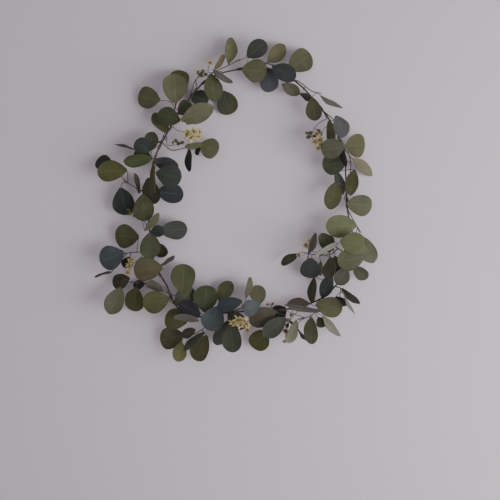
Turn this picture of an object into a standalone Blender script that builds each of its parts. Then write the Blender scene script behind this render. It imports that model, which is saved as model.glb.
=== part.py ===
"""Eucalyptus door wreath: wired leaf sprigs bound to a hand-bent wire hoop.

Metres, +Z up. The wreath stands in the XZ plane and its front faces -Y. The origin is the hanging point, the
inside top of the hanger's eye. Places are drawn in millimetres on a front plan, x to the right and z up from the
middle of the hoop, and every leaf is drawn from its base to its tip.
"""

import math

import bmesh
import bpy
from mathutils import Matrix, Vector
from mathutils.bvhtree import BVHTree

MM = 0.001

# Overall sizes. The front plan is drawn 564 by 650 mm and stretched to these.
WREATH_WIDTH = 0.564
WREATH_HEIGHT = 0.650
PLAN_WIDTH = 564
PLAN_HEIGHT = 650

# Wires and bindings.
HOOP_WIRE = 0.0032
STEM_WIRE = 0.0024
PETIOLE_WIRE = 0.0017
SPRAY_WIRE = 0.0016
BINDING_GAP = 0.0005
BINDING_WALL = 0.0007
BINDING_LENGTH = 0.010

# Leaves, seeds and flowers.
LEAF_SIZE = 1.0
LEAF_THICKNESS = 0.0008
LEAF_CLEARANCE = 0.0022
WIRE_CLEARANCE = 0.0012
WIRE_SPACING = 0.0025
SEED_SIZE = 1.0
SHORTEST_STALK = 0.002
BLADE_GRID = (2, 4)
CLEARANCE_GRID = (round(6 * LEAF_SIZE), round(8 * LEAF_SIZE))

# Depths, measured towards the front.
LAYER_DEPTH = {0: -0.010, 1: 0.004, 2: 0.014, 3: 0.026}
STEM_RISE = 0.0035
DEPTH_STEP = 0.0015
MOST_STEPS = 70
FEWEST_FACES = 9

# Stems: the points of a stem's line past its binding, where side branches leave it, how many places along a stem
# a petiole tries, and the bows that it tries, in millimetres towards the front and to one side.
FIRST_FREE_POINT = 3
BRANCH_POINT = 4
PETIOLE_STARTS = 6
PETIOLE_BOWS = ((0, 0), (6, 0), (-6, 0), (0, 7), (0, -7), (12, 0), (-12, 0), (0, 14), (0, -14))

# The hanger: a wire eye round a straight stretch of the hoop, and an eye for a hook above it.
HANGER_STRETCH = 1
HANGER_WIRE = 0.0016
HANGER_TWIST = 0.0027
HANGER_EYE_GAP = 0.0008
HANGER_HOOK_EYE = 0.0065
HANGER_NECK = 0.010
HANGER_SWING_ROOM = 0.034
HANGER_SWING = 120

# The hoop's route on the front plan, clockwise from the top, and how many straight stretches it has from each
# point to the next. Bindings sit in the middle of a stretch.
HOOP_STRETCHES = 3
HOOP_PLAN = [
    (0, 256), (62, 260), (118, 236), (165, 188), (200, 138), (219, 82), (222, 24), (226, -32),
    (236, -84), (222, -140), (186, -192), (128, -218), (60, -226), (-10, -228), (-72, -238), (-116, -218),
    (-137, -174), (-163, -128), (-171, -62), (-172, 4), (-163, 72), (-136, 130), (-98, 190), (-54, 238),
]

# Each sprig: where its binding sits along the hoop's points, the routes of its stem and side branches, and its
# leaves as (base x, base z, tip x, tip z, width, layer, pitch, roll).
SPRIGS = {
    "sprig_01": (22.6, [[(-42, 250), (-14, 262), (10, 274)]], [
        (-25, 216, -9, 171, 44, 0, -10, 8),
        (-48, 246, -38, 191, 37, 1, 8, -14),
        (-13, 268, -4, 322, 31, 1, -6, 40),
        (24, 279, 61, 305, 36, 2, 12, 10),
        (-41, 255, -19, 283, 22, 1, 10, 70),
        (-43, 253, -5, 222, 24, 2, 14, 132),
        (-90, 208, -54, 197, 34, 0, -12, 12),
    ]),
    "sprig_02": (0.0, [[(44, 270), (74, 264), (98, 254)]], [
        (14, 254, 62, 247, 45, 2, 10, 12),
        (61, 259, 74, 213, 42, 1, -8, -16),
        (66, 271, 103, 308, 32, 1, -14, 24),
        (108, 256, 153, 292, 47, 1, -16, 10),
        (74, 257, 118, 233, 38, 3, 12, -12),
    ]),
    "sprig_03": (1.7, [[(130, 230), (152, 212), (172, 206)]], [
        (94, 227, 130, 208, 24, 1, -10, 18),
        (130, 207, 152, 198, 28, 1, 10, 74),
        (169, 202, 209, 170, 28, 2, 16, 126),
        (152, 198, 160, 153, 32, 1, -8, 14),
    ]),
    "sprig_04": (2.9, [[(184, 166), (198, 152), (214, 122)]], [
        (185, 150, 189, 103, 30, 2, 6, 62),
        (198, 159, 219, 120, 34, 1, -12, -12),
        (220, 104, 261, 106, 48, 1, -10, 12),
        (215, 98, 170, 90, 40, 3, 14, -10),
    ]),
    "sprig_05": (4.3, [[(228, 84), (230, 56), (224, 24), (216, -4)]], [
        (221, 74, 175, 62, 46, 1, 6, 12),
        (235, 78, 281, 47, 25, 1, -18, -12),
        (236, 55, 226, 4, 27, 2, 10, 20),
        (201, 53, 218, 7, 25, 1, -8, -26),
        (199, 29, 186, -23, 34, 3, 12, 10),
        (208, 112, 216, 60, 26, 2, 4, 68),
    ]),
    "sprig_06": (6.25, [[(222, -18), (236, -46), (250, -70)]], [
        (222, -10, 274, -18, 43, 1, -12, 10),
        (240, -56, 181, -58, 46, 2, 14, -12),
        (250, -76, 279, -132, 37, 1, -16, 20),
        (206, -86, 254, -96, 45, 3, 6, 10),
    ]),
    "sprig_07": (7.55, [[(246, -98), (240, -136)]], [
        (257, -116, 203, -128, 44, 2, 8, -10),
        (236, -138, 265, -162, 26, 1, -10, 14),
        (224, -140, 204, -172, 34, 1, 10, -18),
    ]),
    "sprig_08": (8.2, [[(207, -102), (190, -113), (158, -113), (138, -109)]], [
        (204, -99, 181, -82, 24, 1, 8, 70),
        (187, -109, 172, -70, 27, 1, -14, 12),
        (143, -112, 161, -72, 26, 2, 12, 118),
        (126, -111, 92, -132, 26, 1, 10, 50),
        (152, -120, 149, -161, 42, 1, -8, 10),
        (172, -127, 171, -156, 18, 0, -8, 140),
        (188, -118, 184, -161, 34, 2, 12, 50),
        (200, -116, 204, -152, 30, 1, 8, -16),
        (198, -104, 176, -78, 34, 0, 8, 24),
        (204, -90, 156, -110, 18, 3, -10, 128),
    ]),
    "sprig_09": (9.3, [[(210, -180), (208, -198)]], [
        (191, -152, 172, -199, 27, 1, -8, 12),
        (157, -157, 150, -208, 30, 2, 10, 60),
        (212, -180, 246, -216, 26, 1, -12, 58),
        (212, -186, 232, -232, 26, 2, 10, 108),
        (200, -196, 222, -215, 24, 1, -8, 44),
    ]),
    "sprig_10": (10.1, [[(166, -216), (152, -234), (126, -242)]], [
        (161, -210, 211, -223, 42, 2, 8, 10),
        (150, -211, 104, -210, 32, 1, -8, 54),
        (98, -211, 170, -231, 20, 3, 12, 124),
        (150, -236, 148, -288, 36, 2, 8, 44),
        (166, -238, 178, -258, 22, 1, -6, 12),
        (173, -234, 206, -278, 24, 1, -14, 130),
        (122, -243, 107, -287, 34, 2, 12, -50),
        (126, -262, 139, -286, 22, 1, 6, 74),
    ]),
    "sprig_11": (11.3, [[(86, -238), (64, -252)]], [
        (102, -220, 76, -241, 34, 0, -8, 16),
        (100, -237, 57, -272, 36, 3, 10, -12),
        (62, -264, 37, -304, 43, 1, -14, 8),
        (82, -225, 29, -246, 38, 2, 6, 12),
    ]),
    "sprig_12": (12.15, [[(26, -218), (4, -222), (-14, -240)]], [
        (50, -209, 18, -223, 34, 3, 10, -14),
        (48, -213, 44, -174, 34, 1, -10, 12),
        (22, -201, 33, -158, 28, 2, 6, 64),
        (14, -204, -33, -212, 38, 2, 10, 46),
        (-32, -206, -9, -166, 31, 1, -12, -10),
        (-8, -248, -3, -303, 40, 2, 12, 12),
        (-15, -246, -36, -297, 34, 1, -8, -22),
        (-12, -222, 18, -260, 34, 1, -8, 12),
    ]),
    "sprig_13": (13.35, [[(-40, -240), (-66, -262), (-98, -278)]], [
        (-33, -215, -50, -261, 46, 3, 8, 12),
        (-59, -227, -58, -174, 50, 2, -6, -10),
        (-56, -275, -83, -326, 41, 1, -14, 16),
        (-60, -267, -103, -297, 30, 2, 10, 62),
        (-106, -286, -112, -325, 28, 2, 6, -10),
        (-102, -273, -151, -287, 44, 1, -12, 10),
        (-78, -261, -104, -272, 24, 1, 8, 40),
    ]),
    "sprig_14": (14.35, [[(-104, -240), (-122, -232)]], [
        (-68, -231, -108, -208, 34, 2, 10, -16),
        (-70, -243, -116, -227, 30, 3, 14, 128),
        (-94, -246, -139, -236, 44, 1, -12, 12),
    ]),
    "sprig_15": (15.2, [[(-131, -190), (-140, -176)]], [
        (-120, -213, -83, -182, 38, 1, -8, 14),
        (-105, -190, -101, -131, 50, 2, -10, 10),
        (-130, -200, -180, -212, 45, 2, 10, -12),
        (-142, -186, -176, -168, 28, 1, 8, 136),
    ]),
    "sprig_16": (16.25, [[(-176, -164), (-204, -168), (-222, -160)]], [
        (-197, -179, -206, -228, 42, 1, -12, 12),
        (-226, -178, -247, -230, 38, 2, 10, -14),
        (-210, -160, -247, -172, 32, 1, -10, 12),
        (-182, -172, -206, -176, 20, 0, -8, 16),
        (-142, -138, -197, -144, 48, 3, 8, 12),
        (-148, -135, -119, -118, 24, 1, 8, 74),
    ]),
    "sprig_17": (17.1, [[(-184, -108), (-206, -109), (-222, -113)]], [
        (-220, -108, -265, -128, 49, 2, 8, 10),
        (-208, -118, -224, -138, 20, 1, -10, 12),
        (-246, -148, -283, -155, 20, 1, -8, 72),
        (-156, -90, -142, -118, 28, 1, -12, 14),
        (-167, -71, -165, -119, 43, 3, 12, 12),
        (-192, -78, -242, -75, 48, 1, -10, -10),
    ]),
    "sprig_18": (18.1, [[(-180, -22), (-182, 4)]], [
        (-150, -66, -96, -62, 39, 1, -14, 10),
        (-168, -68, -140, -66, 24, 2, 8, -14),
        (-177, -67, -147, -33, 24, 2, 10, 60),
        (-181, 5, -178, -46, 44, 2, 8, 12),
        (-169, 38, -162, -14, 37, 1, -12, 14),
    ]),
    "sprig_19": (18.9, [[(-186, 14), (-204, 24), (-221, 34)], [(-164, 42), (-160, 60)]], [
        (-228, 20, -218, -34, 47, 1, -10, 10),
        (-194, 11, -197, 51, 22, 0, 6, 72),
        (-214, 55, -271, 50, 43, 2, 8, 10),
        (-244, 60, -278, 77, 34, 1, -14, 12),
        (-156, 12, -103, 8, 42, 1, -10, -12),
        (-156, 48, -106, 38, 46, 2, 10, 10),
        (-162, 75, -114, 58, 32, 1, -8, 30),
        (-159, 65, -160, 7, 26, 3, 8, 60),
        (-162, 77, -216, 66, 34, 3, 12, -50),
    ]),
    "sprig_20": (20.2, [[(-147, 112), (-139, 130)], [(-126, 95), (-98, 99), (-80, 101)]], [
        (-168, 90, -195, 111, 34, 2, 8, 12),
        (-170, 91, -163, 132, 28, 1, -10, 12),
        (-203, 97, -240, 113, 24, 1, -8, 72),
        (-134, 128, -162, 172, 30, 1, -12, 20),
        (-92, 100, -92, 52, 28, 1, 10, 56),
        (-69, 108, -34, 92, 42, 1, -12, 10),
        (-70, 101, -78, 86, 18, 1, -8, 48),
        (-62, 105, -98, 98, 20, 1, 4, -58),
        (-170, 84, -203, 92, 27, 0, 6, 20),
    ]),
    "sprig_21": (21.2, [[(-120, 168), (-116, 188)]], [
        (-108, 152, -152, 164, 39, 2, 10, 10),
        (-150, 195, -197, 206, 44, 1, -12, -10),
        (-106, 151, -42, 175, 38, 2, 12, 10),
        (-118, 186, -118, 242, 50, 2, 8, 10),
        (-112, 212, -111, 260, 41, 1, -14, 8),
        (-112, 166, -88, 190, 30, 1, -8, 12),
        (-80, 151, -97, 147, 16, 1, 8, 58),
    ]),
}

# Seed sprays and flower picks: where the wire is glued along the hoop, on its outer (1) or inner (-1) side, the
# wire's route as (x, z, depth towards the front), and the heads as (x, z, depth, size across).
SEED_SPRAYS = {
    "seed_spray_1": (22.35, 1, [(-78, 234, 6), (-70, 244, 9)],
                     [(-72, 248, 9, 8), (-64, 250, 10, 8), (-66, 242, 11, 7), (-58, 246, 8, 6)]),
    "seed_spray_2": (20.75, -1, [(-134, 105, 6), (-112, 106, 10)],
                     [(-123, 110, 8, 5), (-117, 113, 9, 7), (-112, 107, 12, 8), (-105, 109, 12, 7)]),
    "seed_spray_3": (3.35, -1, [(172, 152, 6), (158, 138, 12), (152, 122, 14)],
                     [(146, 120, 14, 8), (150, 128, 15, 8), (158, 122, 14, 7), (166, 132, 12, 8),
                      (143, 128, 12, 6), (158, 110, 14, 6)]),
    "seed_spray_4": (11.05, 1, [(116, -228, 8), (108, -242, 12)],
                     [(112, -233, 13, 7), (105, -243, 14, 8), (104, -254, 12, 8), (112, -248, 12, 6)]),
    "seed_spray_5": (11.75, -1, [(74, -218, 4), (70, -212, 6)],
                     [(65, -212, 7, 5), (75, -211, 7, 5)]),
    "seed_spray_6": (18.6, 1, [(-190, -22, 8), (-202, -26, 12)],
                     [(-207, -31, 14, 8), (-201, -27, 16, 7), (-199, -35, 12, 7), (-211, -24, 12, 6)]),
}
FLOWER_PICKS = {
    "flower_pick_1": (21.0, -1, [(-116, 134, 14), (-98, 126, 30)],
                      [(-94, 124, 34, 15), (-86, 116, 36, 15), (-82, 127, 37, 16), (-73, 118, 36, 15),
                       (-70, 127, 34, 12)]),
    "flower_pick_2": (3.6, -1, [(180, 140, 14), (172, 128, 28)],
                      [(162, 124, 30, 12), (167, 113, 34, 15), (158, 108, 33, 13), (171, 102, 32, 14),
                       (163, 97, 31, 11)]),
    "flower_pick_3": (12.8, -1, [(0, -212, 34), (2, -228, 57)],
                      [(-2, -243, 59, 14), (6, -236, 61, 15), (11, -247, 60, 14), (18, -239, 60, 14),
                       (24, -248, 58, 11)]),
    "flower_pick_4": (12.45, 1, [(30, -240, 10), (26, -254, 14)], [(25, -262, 15, 12)]),
    "flower_pick_5": (8.6, -1, [(200, -122, 20), (150, -106, 26)],
                      [(127, -114, 26, 10), (141, -96, 28, 13), (146, -87, 28, 9)]),
    "flower_pick_6": (10.75, 1, [(114, -238, 4), (104, -258, 8)],
                      [(101, -264, 9, 12), (104, -273, 9, 10), (99, -285, 8, 10)]),
    "flower_pick_7": (17.4, 1, [(-186, -118, 14), (-200, -130, 22)],
                      [(-206, -135, 25, 14), (-210, -147, 24, 13), (-204, -124, 24, 12)]),
    "flower_pick_8": (23.4, 1, [(-52, 250, 4), (-52, 262, 6)], [(-50, 267, 7, 12)]),
}

COLOURS = {
    "wire": ((0.055, 0.042, 0.030, 1.0), 0.55, 0.0),
    "tape": ((0.070, 0.052, 0.036, 1.0), 0.85, 0.0),
    "steel": ((0.32, 0.31, 0.29, 1.0), 0.35, 1.0),
    "olive": ((0.070, 0.070, 0.032, 1.0), 0.62, 0.0),
    "green": ((0.050, 0.062, 0.034, 1.0), 0.62, 0.0),
    "slate": ((0.034, 0.042, 0.046, 1.0), 0.60, 0.0),
    "seed": ((0.110, 0.090, 0.045, 1.0), 0.60, 0.0),
    "cream": ((0.560, 0.470, 0.260, 1.0), 0.80, 0.0),
}


def spline_point(before, start, end, after, t):
    """A point on the Catmull-Rom curve between start and end."""
    slope_in = (end - before) / 2
    slope_out = (after - start) / 2
    return (
        start * (2 * t**3 - 3 * t**2 + 1)
        + slope_in * (t**3 - 2 * t**2 + t)
        + end * (3 * t**2 - 2 * t**3)
        + slope_out * (t**3 - t**2)
    )


def hoop_plan_point(place):
    """The hoop's middle line on the front plan, at a place counted in plan points."""
    count = len(HOOP_PLAN)
    first = math.floor(place)
    around = [Vector(HOOP_PLAN[(first + k) % count]) for k in (-1, 0, 1, 2)]
    return spline_point(*around, place - first)


def eye_radius():
    """Middle radius of the hanger's eye round the hoop."""
    return (HOOP_WIRE + HANGER_WIRE) / 2 + HANGER_EYE_GAP


# The middle of the hanger's stretch on the front plan, and how far above it the hanging point is.
HANGER_PLACE = (
    hoop_plan_point(HANGER_STRETCH / HOOP_STRETCHES) + hoop_plan_point((HANGER_STRETCH + 1) / HOOP_STRETCHES)
) / 2
HANGER_DROP = HANGER_HOOK_EYE + HANGER_NECK + eye_radius()


def plan_point(x, z, depth=0.0):
    """A place on the front plan, in metres from the hanging point. Depth is towards the front."""
    across = (x - HANGER_PLACE.x) * MM * WREATH_WIDTH / (PLAN_WIDTH * MM)
    up = (z - HANGER_PLACE.y) * MM * WREATH_HEIGHT / (PLAN_HEIGHT * MM)
    return Vector((across, -depth, up - HANGER_DROP))


def hoop_point(place):
    """The hoop's middle line at a place counted in plan points."""
    return plan_point(*hoop_plan_point(place))


def hoop_stretch(place):
    """The two ends of the hoop's straight stretch nearest the place."""
    first = round(place * HOOP_STRETCHES)
    return [hoop_point((first + k) / HOOP_STRETCHES) for k in (0, 1)]


def smooth_line(points, spans, before=None):
    """A smooth open line through the points, with the given number of pieces in each stretch. It may lead on from
    a point before the first."""
    ends = [before or 2 * points[0] - points[1]] + points + [2 * points[-1] - points[-2]]
    line = []
    for k in range(len(points) - 1):
        line += [spline_point(*ends[k : k + 4], step / spans) for step in range(spans)]
    return line + [points[-1]]


def resampled(line, spacing):
    """The same line with a point at least every spacing."""
    found = []
    for start, end in zip(line, line[1:]):
        count = max(1, math.ceil((end - start).length / spacing))
        found += [start.lerp(end, k / count) for k in range(count)]
    return found + [line[-1]]


# ---- Leaf shape -------------------------------------------------------------------------------------------------


def leaf_form(number):
    """How far a leaf arches back and how deep it cups: each leaf a little different."""
    arch = 0.03 + 0.11 * ((number * 0.618) % 1.0)
    cup = 0.04 + 0.10 * ((number * 0.382) % 1.0)
    return arch, cup


def half_width(t, slim):
    """Half the leaf's width at t along it, as a share of half its full width. A broad leaf widens slowly from its
    base and has a round end, and a slim one is pointed at both ends."""
    widest = 0.58 - 0.08 * slim
    if t < widest:
        return max(0.10, 1 - ((widest - t) / widest) ** 1.8) ** 0.75
    beyond = ((t - widest) / (1 - widest)) ** (2.3 - 0.5 * slim)
    return max(0.09 - 0.07 * slim, 1 - beyond) ** (0.5 + 0.3 * slim)


class Leaf:
    def __init__(self, row, number):
        base_x, base_z, tip_x, tip_z, width, self.layer, pitch, roll = row
        self.base = plan_point(base_x, base_z)
        run = Vector((tip_x - base_x, 0, tip_z - base_z)) * MM * LEAF_SIZE
        self.length = run.length / math.cos(math.radians(pitch))
        self.width = width * MM * LEAF_SIZE
        self.arch, self.cup = leaf_form(number)
        self.slim = min(1.0, max(0.0, (0.72 - self.width / self.length) / 0.35))
        towards_front = Vector((0, -1, 0))
        along = run.normalized()
        lean = math.radians(pitch)
        length_axis = along * math.cos(lean) + towards_front * math.sin(lean)
        face_axis = towards_front * math.cos(lean) - along * math.sin(lean)
        face_axis = Matrix.Rotation(math.radians(roll), 3, length_axis) @ face_axis
        width_axis = length_axis.cross(face_axis)
        self.turn = Matrix((width_axis, length_axis, face_axis)).transposed()

    def local(self, s, t):
        """A point of the blade: s from -1 to 1 across it, t from 0 to 1 along it."""
        x = s * self.width / 2 * half_width(t, self.slim)
        rise = self.cup * (x / (self.width / 2)) ** 2 * self.width / 2
        return Vector((x, t * self.length, rise - self.arch * self.length * t * t))

    def place(self, s, t, depth):
        return self.base + Vector((0, -depth, 0)) + self.turn @ self.local(s, t)

    def axis(self):
        return self.turn @ Vector((0, 1, 0))


def blade_sheet(leaf, across, along):
    """The blade as an open sheet in the leaf's own frame."""
    sheet = bmesh.new()
    bmesh.ops.create_grid(sheet, x_segments=across, y_segments=along, size=0.5)
    for vert in sheet.verts:
        vert.co = leaf.local(vert.co.x * 2, vert.co.y + 0.5)
    return sheet


# ---- Room for every leaf ----------------------------------------------------------------------------------------


class Room:
    """What is already on the wreath: leaf blades as sheets, and wires as rows of points."""

    def __init__(self):
        self.blades = []
        self.wires = []

    def add_wire(self, line, radius, owner):
        self.wires.append((resampled(line, WIRE_SPACING), radius, owner))

    def add_blade(self, points, tree):
        self.blades.append((points, tree))

    def wire_is_clear(self, line, radius, owner):
        points = resampled(line, WIRE_SPACING)
        low, high = bounds(points)
        for other, other_radius, other_owner in self.wires:
            need = radius + other_radius + WIRE_CLEARANCE
            if other_owner == owner or apart(low, high, other, need):
                continue
            if any((p - q).length < need for p in points for q in other):
                return False
        need = radius + LEAF_CLEARANCE
        for other, tree in self.blades:
            if apart(low, high, other, need):
                continue
            if any(tree.find_nearest(p, need)[0] for p in points):
                return False
        return True

    def blade_is_clear(self, points, tree):
        low, high = bounds(points)
        for other, other_tree in self.blades:
            if apart(low, high, other, LEAF_CLEARANCE):
                continue
            if any(other_tree.find_nearest(p, LEAF_CLEARANCE)[0] for p in points):
                return False
        for other, radius, _ in self.wires:
            need = radius + LEAF_CLEARANCE
            if apart(low, high, other, need):
                continue
            if any(tree.find_nearest(p, need)[0] for p in other):
                return False
        return True


def bounds(points):
    low = Vector([min(p[k] for p in points) for k in range(3)])
    high = Vector([max(p[k] for p in points) for k in range(3)])
    return low, high


def apart(low, high, others, gap):
    other_low, other_high = bounds(others)
    return any(low[k] > other_high[k] + gap or high[k] < other_low[k] - gap for k in range(3))


def stem_places(stems, base, count):
    """Where a petiole may leave the sprig's stems, as (point, direction of the stem), the nearest first."""
    places = [
        (line[k], (line[k + 1] - line[k - 1]).normalized())
        for number, line in enumerate(stems)
        for k in range(1 if number else FIRST_FREE_POINT, len(line) - 1)
    ]
    return sorted(places, key=lambda found: (found[0] - base).length)[:count]


def petiole_line(leaf, depth, start, along_stem, bow):
    """From a point of the stem, curving into the leaf's base along its midrib, and bowed by some millimetres
    towards the front and to one side."""
    base = leaf.place(0, 0, depth)
    reach = (base - start).length * 0.4
    middle = (start + base) * 0.5 + (along_stem - leaf.axis()) * reach * 0.375
    towards_front = Vector((0, -1, 0))
    aside = (base - start).cross(towards_front).normalized()
    return [start, middle + (towards_front * bow[0] + aside * bow[1]) * MM, base]


def clear_petiole(leaf, depth, room, stems, owner, step):
    """The first petiole route that clears what is on the wreath, or None. It looks further round at each step."""
    starts = PETIOLE_STARTS + step // 2
    wider = 1 + step / 20
    for start, along_stem in stem_places(stems, leaf.place(0, 0, depth), starts):
        for bow in PETIOLE_BOWS:
            petiole = petiole_line(leaf, depth, start, along_stem, [wider * part for part in bow])
            if room.wire_is_clear(petiole, PETIOLE_WIRE / 2, owner):
                return petiole
    return None


def settled_leaf(leaf, room, stems, owner):
    """The depth at which the leaf and its petiole clear everything placed before, and its petiole."""
    sheet = blade_sheet(leaf, *CLEARANCE_GRID)
    faces = [[v.index for v in face.verts] for face in sheet.faces]
    local = [v.co.copy() for v in sheet.verts]
    sheet.free()
    petiole = None
    for step in range(MOST_STEPS):
        depth = LAYER_DEPTH[leaf.layer] + step * DEPTH_STEP
        base = leaf.base + Vector((0, -depth, 0))
        points = [base + leaf.turn @ p for p in local]
        tree = BVHTree.FromPolygons(points, faces)
        if room.blade_is_clear(points, tree):
            petiole = clear_petiole(leaf, depth, room, stems, owner, step)
        if petiole:
            break
    if not petiole:
        petiole = petiole_line(leaf, depth, *stem_places(stems, leaf.place(0, 0, depth), 1)[0], (0, 0))
    room.add_blade(points, tree)
    room.add_wire(petiole, PETIOLE_WIRE / 2, owner)
    return depth, petiole


# ---- Making solids ----------------------------------------------------------------------------------------------


def material(name):
    found = bpy.data.materials.get(name)
    if found:
        return found
    colour, roughness, metallic = COLOURS[name]
    made = bpy.data.materials.new(name)
    made.use_nodes = True
    shader = made.node_tree.nodes["Principled BSDF"]
    shader.inputs["Base Color"].default_value = colour
    shader.inputs["Roughness"].default_value = roughness
    shader.inputs["Metallic"].default_value = metallic
    made.diffuse_color = colour
    return made


def linked(name, mesh, collection):
    obj = bpy.data.objects.new(name, mesh)
    collection.objects.link(obj)
    return obj


def weld(mesh):
    """Makes one point of those that meet, and turns every face outwards."""
    shape = bmesh.new()
    shape.from_mesh(mesh)
    bmesh.ops.remove_doubles(shape, verts=shape.verts, dist=1e-6)
    bmesh.ops.recalc_face_normals(shape, faces=shape.faces)
    shape.to_mesh(mesh)
    shape.free()


def wire(name, line, diameter, collection, closed=False, resolution=1):
    """A round wire along the line, as a mesh with welded caps."""
    curve = bpy.data.curves.new(name, "CURVE")
    curve.dimensions = "3D"
    curve.bevel_depth = diameter / 2
    curve.bevel_resolution = resolution
    curve.use_fill_caps = not closed
    spline = curve.splines.new("POLY")
    spline.points.add(len(line) - 1)
    for point, place in zip(spline.points, line):
        point.co = (*place, 1.0)
    spline.use_cyclic_u = closed
    guide = linked(name + "_route", curve, collection)
    bpy.context.view_layer.update()
    evaluated = guide.evaluated_get(bpy.context.evaluated_depsgraph_get())
    mesh = bpy.data.meshes.new_from_object(evaluated)
    bpy.data.objects.remove(guide)
    weld(mesh)
    mesh.name = name
    mesh.shade_smooth()
    return linked(name, mesh, collection)


def blade_solid(name, leaf, depth, collection):
    """One leaf blade: a shaped grid given its thickness."""
    sheet = blade_sheet(leaf, *BLADE_GRID)
    for vert in sheet.verts:
        vert.co = leaf.base + Vector((0, -depth, 0)) + leaf.turn @ vert.co
    mesh = bpy.data.meshes.new(name)
    sheet.to_mesh(mesh)
    sheet.free()
    obj = linked(name, mesh, collection)
    thicken = obj.modifiers.new("Thickness", "SOLIDIFY")
    thicken.thickness = LEAF_THICKNESS
    thicken.offset = 0.0
    return obj


def ball(name, centre, diameter, collection, segments=5, rings=4):
    mesh = bpy.data.meshes.new(name)
    shape = bmesh.new()
    bmesh.ops.create_uvsphere(shape, u_segments=segments, v_segments=rings, radius=diameter / 2)
    bmesh.ops.translate(shape, verts=shape.verts, vec=centre)
    shape.to_mesh(mesh)
    shape.free()
    return linked(name, mesh, collection)


def united(obj, others):
    """Joins closed shapes into one solid, the others one after another, and finishes it as a plain mesh."""
    for other in others:
        join = obj.modifiers.new("Join", "BOOLEAN")
        join.operation = "UNION"
        join.solver = "MANIFOLD"
        join.object = other
    bpy.context.view_layer.update()
    evaluated = obj.evaluated_get(bpy.context.evaluated_depsgraph_get())
    mesh = bpy.data.meshes.new_from_object(evaluated)
    obj.modifiers.clear()
    without_splinters(mesh)
    obj.data = mesh
    for other in others:
        bpy.data.objects.remove(other)
    return obj


def without_splinters(mesh):
    """Takes away what a union leaves loose with too few faces to be any of the shapes that went in."""
    shape = bmesh.new()
    shape.from_mesh(mesh)
    bmesh.ops.triangulate(shape, faces=shape.faces, ngon_method="EAR_CLIP")
    left = set(shape.faces)
    splinters = []
    while left:
        body = [left.pop()]
        for face in body:
            shared = [edge.link_faces for edge in face.edges if len(edge.link_faces) == 2]
            near = {other for faces in shared for other in faces} & left
            left -= near
            body += near
        if len(body) < FEWEST_FACES:
            splinters += body
    bmesh.ops.delete(shape, geom=splinters, context="FACES")
    shape.to_mesh(mesh)
    shape.free()


def finish(obj, colour):
    obj.data.materials.clear()
    obj.data.materials.append(material(colour))
    for face in obj.data.polygons:
        face.material_index = 0
    return obj


# ---- The pieces -------------------------------------------------------------------------------------------------


def make_hoop(collection, room):
    count = len(HOOP_PLAN) * HOOP_STRETCHES
    line = [hoop_point(k / HOOP_STRETCHES) for k in range(count)]
    room.add_wire(line + line[:1], HOOP_WIRE / 2, "hoop")
    hoop = wire("hoop", line, HOOP_WIRE, collection, closed=True, resolution=1)
    return finish(hoop, "wire")


def make_hanger(collection, room):
    """A twisted wire hanger: an eye round the hoop, a neck, and an eye for the hook."""
    first, last = hoop_stretch(HANGER_STRETCH / HOOP_STRETCHES)
    centre = (first + last) / 2
    hook_eye = Vector((0, 0, -HANGER_HOOK_EYE))
    turn = math.pi / 2
    slope = math.atan2(last.z - first.z, last.x - first.x)
    bpy.ops.mesh.primitive_torus_add(
        major_segments=12, minor_segments=6, major_radius=eye_radius(), minor_radius=HANGER_WIRE / 2,
        location=centre, rotation=(0, turn - slope, 0),
    )
    hoop_eye = bpy.context.object
    bpy.ops.mesh.primitive_torus_add(
        major_segments=16, minor_segments=6, major_radius=HANGER_HOOK_EYE + HANGER_WIRE / 2,
        minor_radius=HANGER_WIRE / 2, location=hook_eye, rotation=(turn, 0, 0),
    )
    top_eye = bpy.context.object
    for eye in (hoop_eye, top_eye):
        for owner in list(eye.users_collection):
            owner.objects.unlink(eye)
        collection.objects.link(eye)
    low = centre.z + eye_radius()
    high = hook_eye.z - HANGER_HOOK_EYE - HANGER_WIRE / 2
    neck_line = [Vector((0, 0, low)), Vector((0, 0, (low + high) / 2)), Vector((0, 0, high))]
    neck = wire("hanger_neck", neck_line, HANGER_TWIST, collection, resolution=1)
    for part in (hoop_eye, top_eye):
        part.data.transform(part.matrix_basis)
        part.matrix_basis = Matrix.Identity(4)
    hanger = united(neck, [hoop_eye, top_eye])
    hanger.name = "hanger"
    half = (last - first).normalized() * 0.002
    room.add_wire([centre - half, centre + half], eye_radius() + HANGER_WIRE / 2, "hanger")
    # Leaves keep out of the sector that the hanger swings through, from upright to below level behind the hoop.
    edge = HANGER_HOOK_EYE + HANGER_WIRE
    for across in (-edge, 0, edge):
        for angle in range(0, HANGER_SWING + 1, 15):
            lean = math.radians(angle)
            reach = Vector((0, math.sin(lean), math.cos(lean))) * HANGER_SWING_ROOM
            side = Vector((across, 0, 0))
            room.add_wire([centre + side, centre + side + reach], HANGER_WIRE / 2, "hanger")
    return finish(hanger, "steel")


def bound_stem(start):
    """The first part of a sprig's stem, straight along the front of the hoop, where its binding holds it."""
    in_front = Vector((0, -(HOOP_WIRE + STEM_WIRE) / 2 - BINDING_GAP, 0))
    first, last = hoop_stretch(start)
    return [first + in_front, (first + last) / 2 + in_front, last + in_front]


def lifted_stems(start, routes, lift):
    """The sprig's stem and its side branches, lifted towards the front from where they leave the hoop."""
    bound = bound_stem(start)
    depth = lift - bound[0].y
    lines = []
    for route in routes:
        leaving = [plan_point(*place, depth + STEM_RISE * (k + 1)) for k, place in enumerate(route)]
        if lines:
            lines.append(smooth_line([lines[0][BRANCH_POINT]] + leaving, 2))
        else:
            lines.append(bound[:2] + smooth_line(bound[2:] + leaving, 2, before=bound[1]))
    return lines


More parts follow.
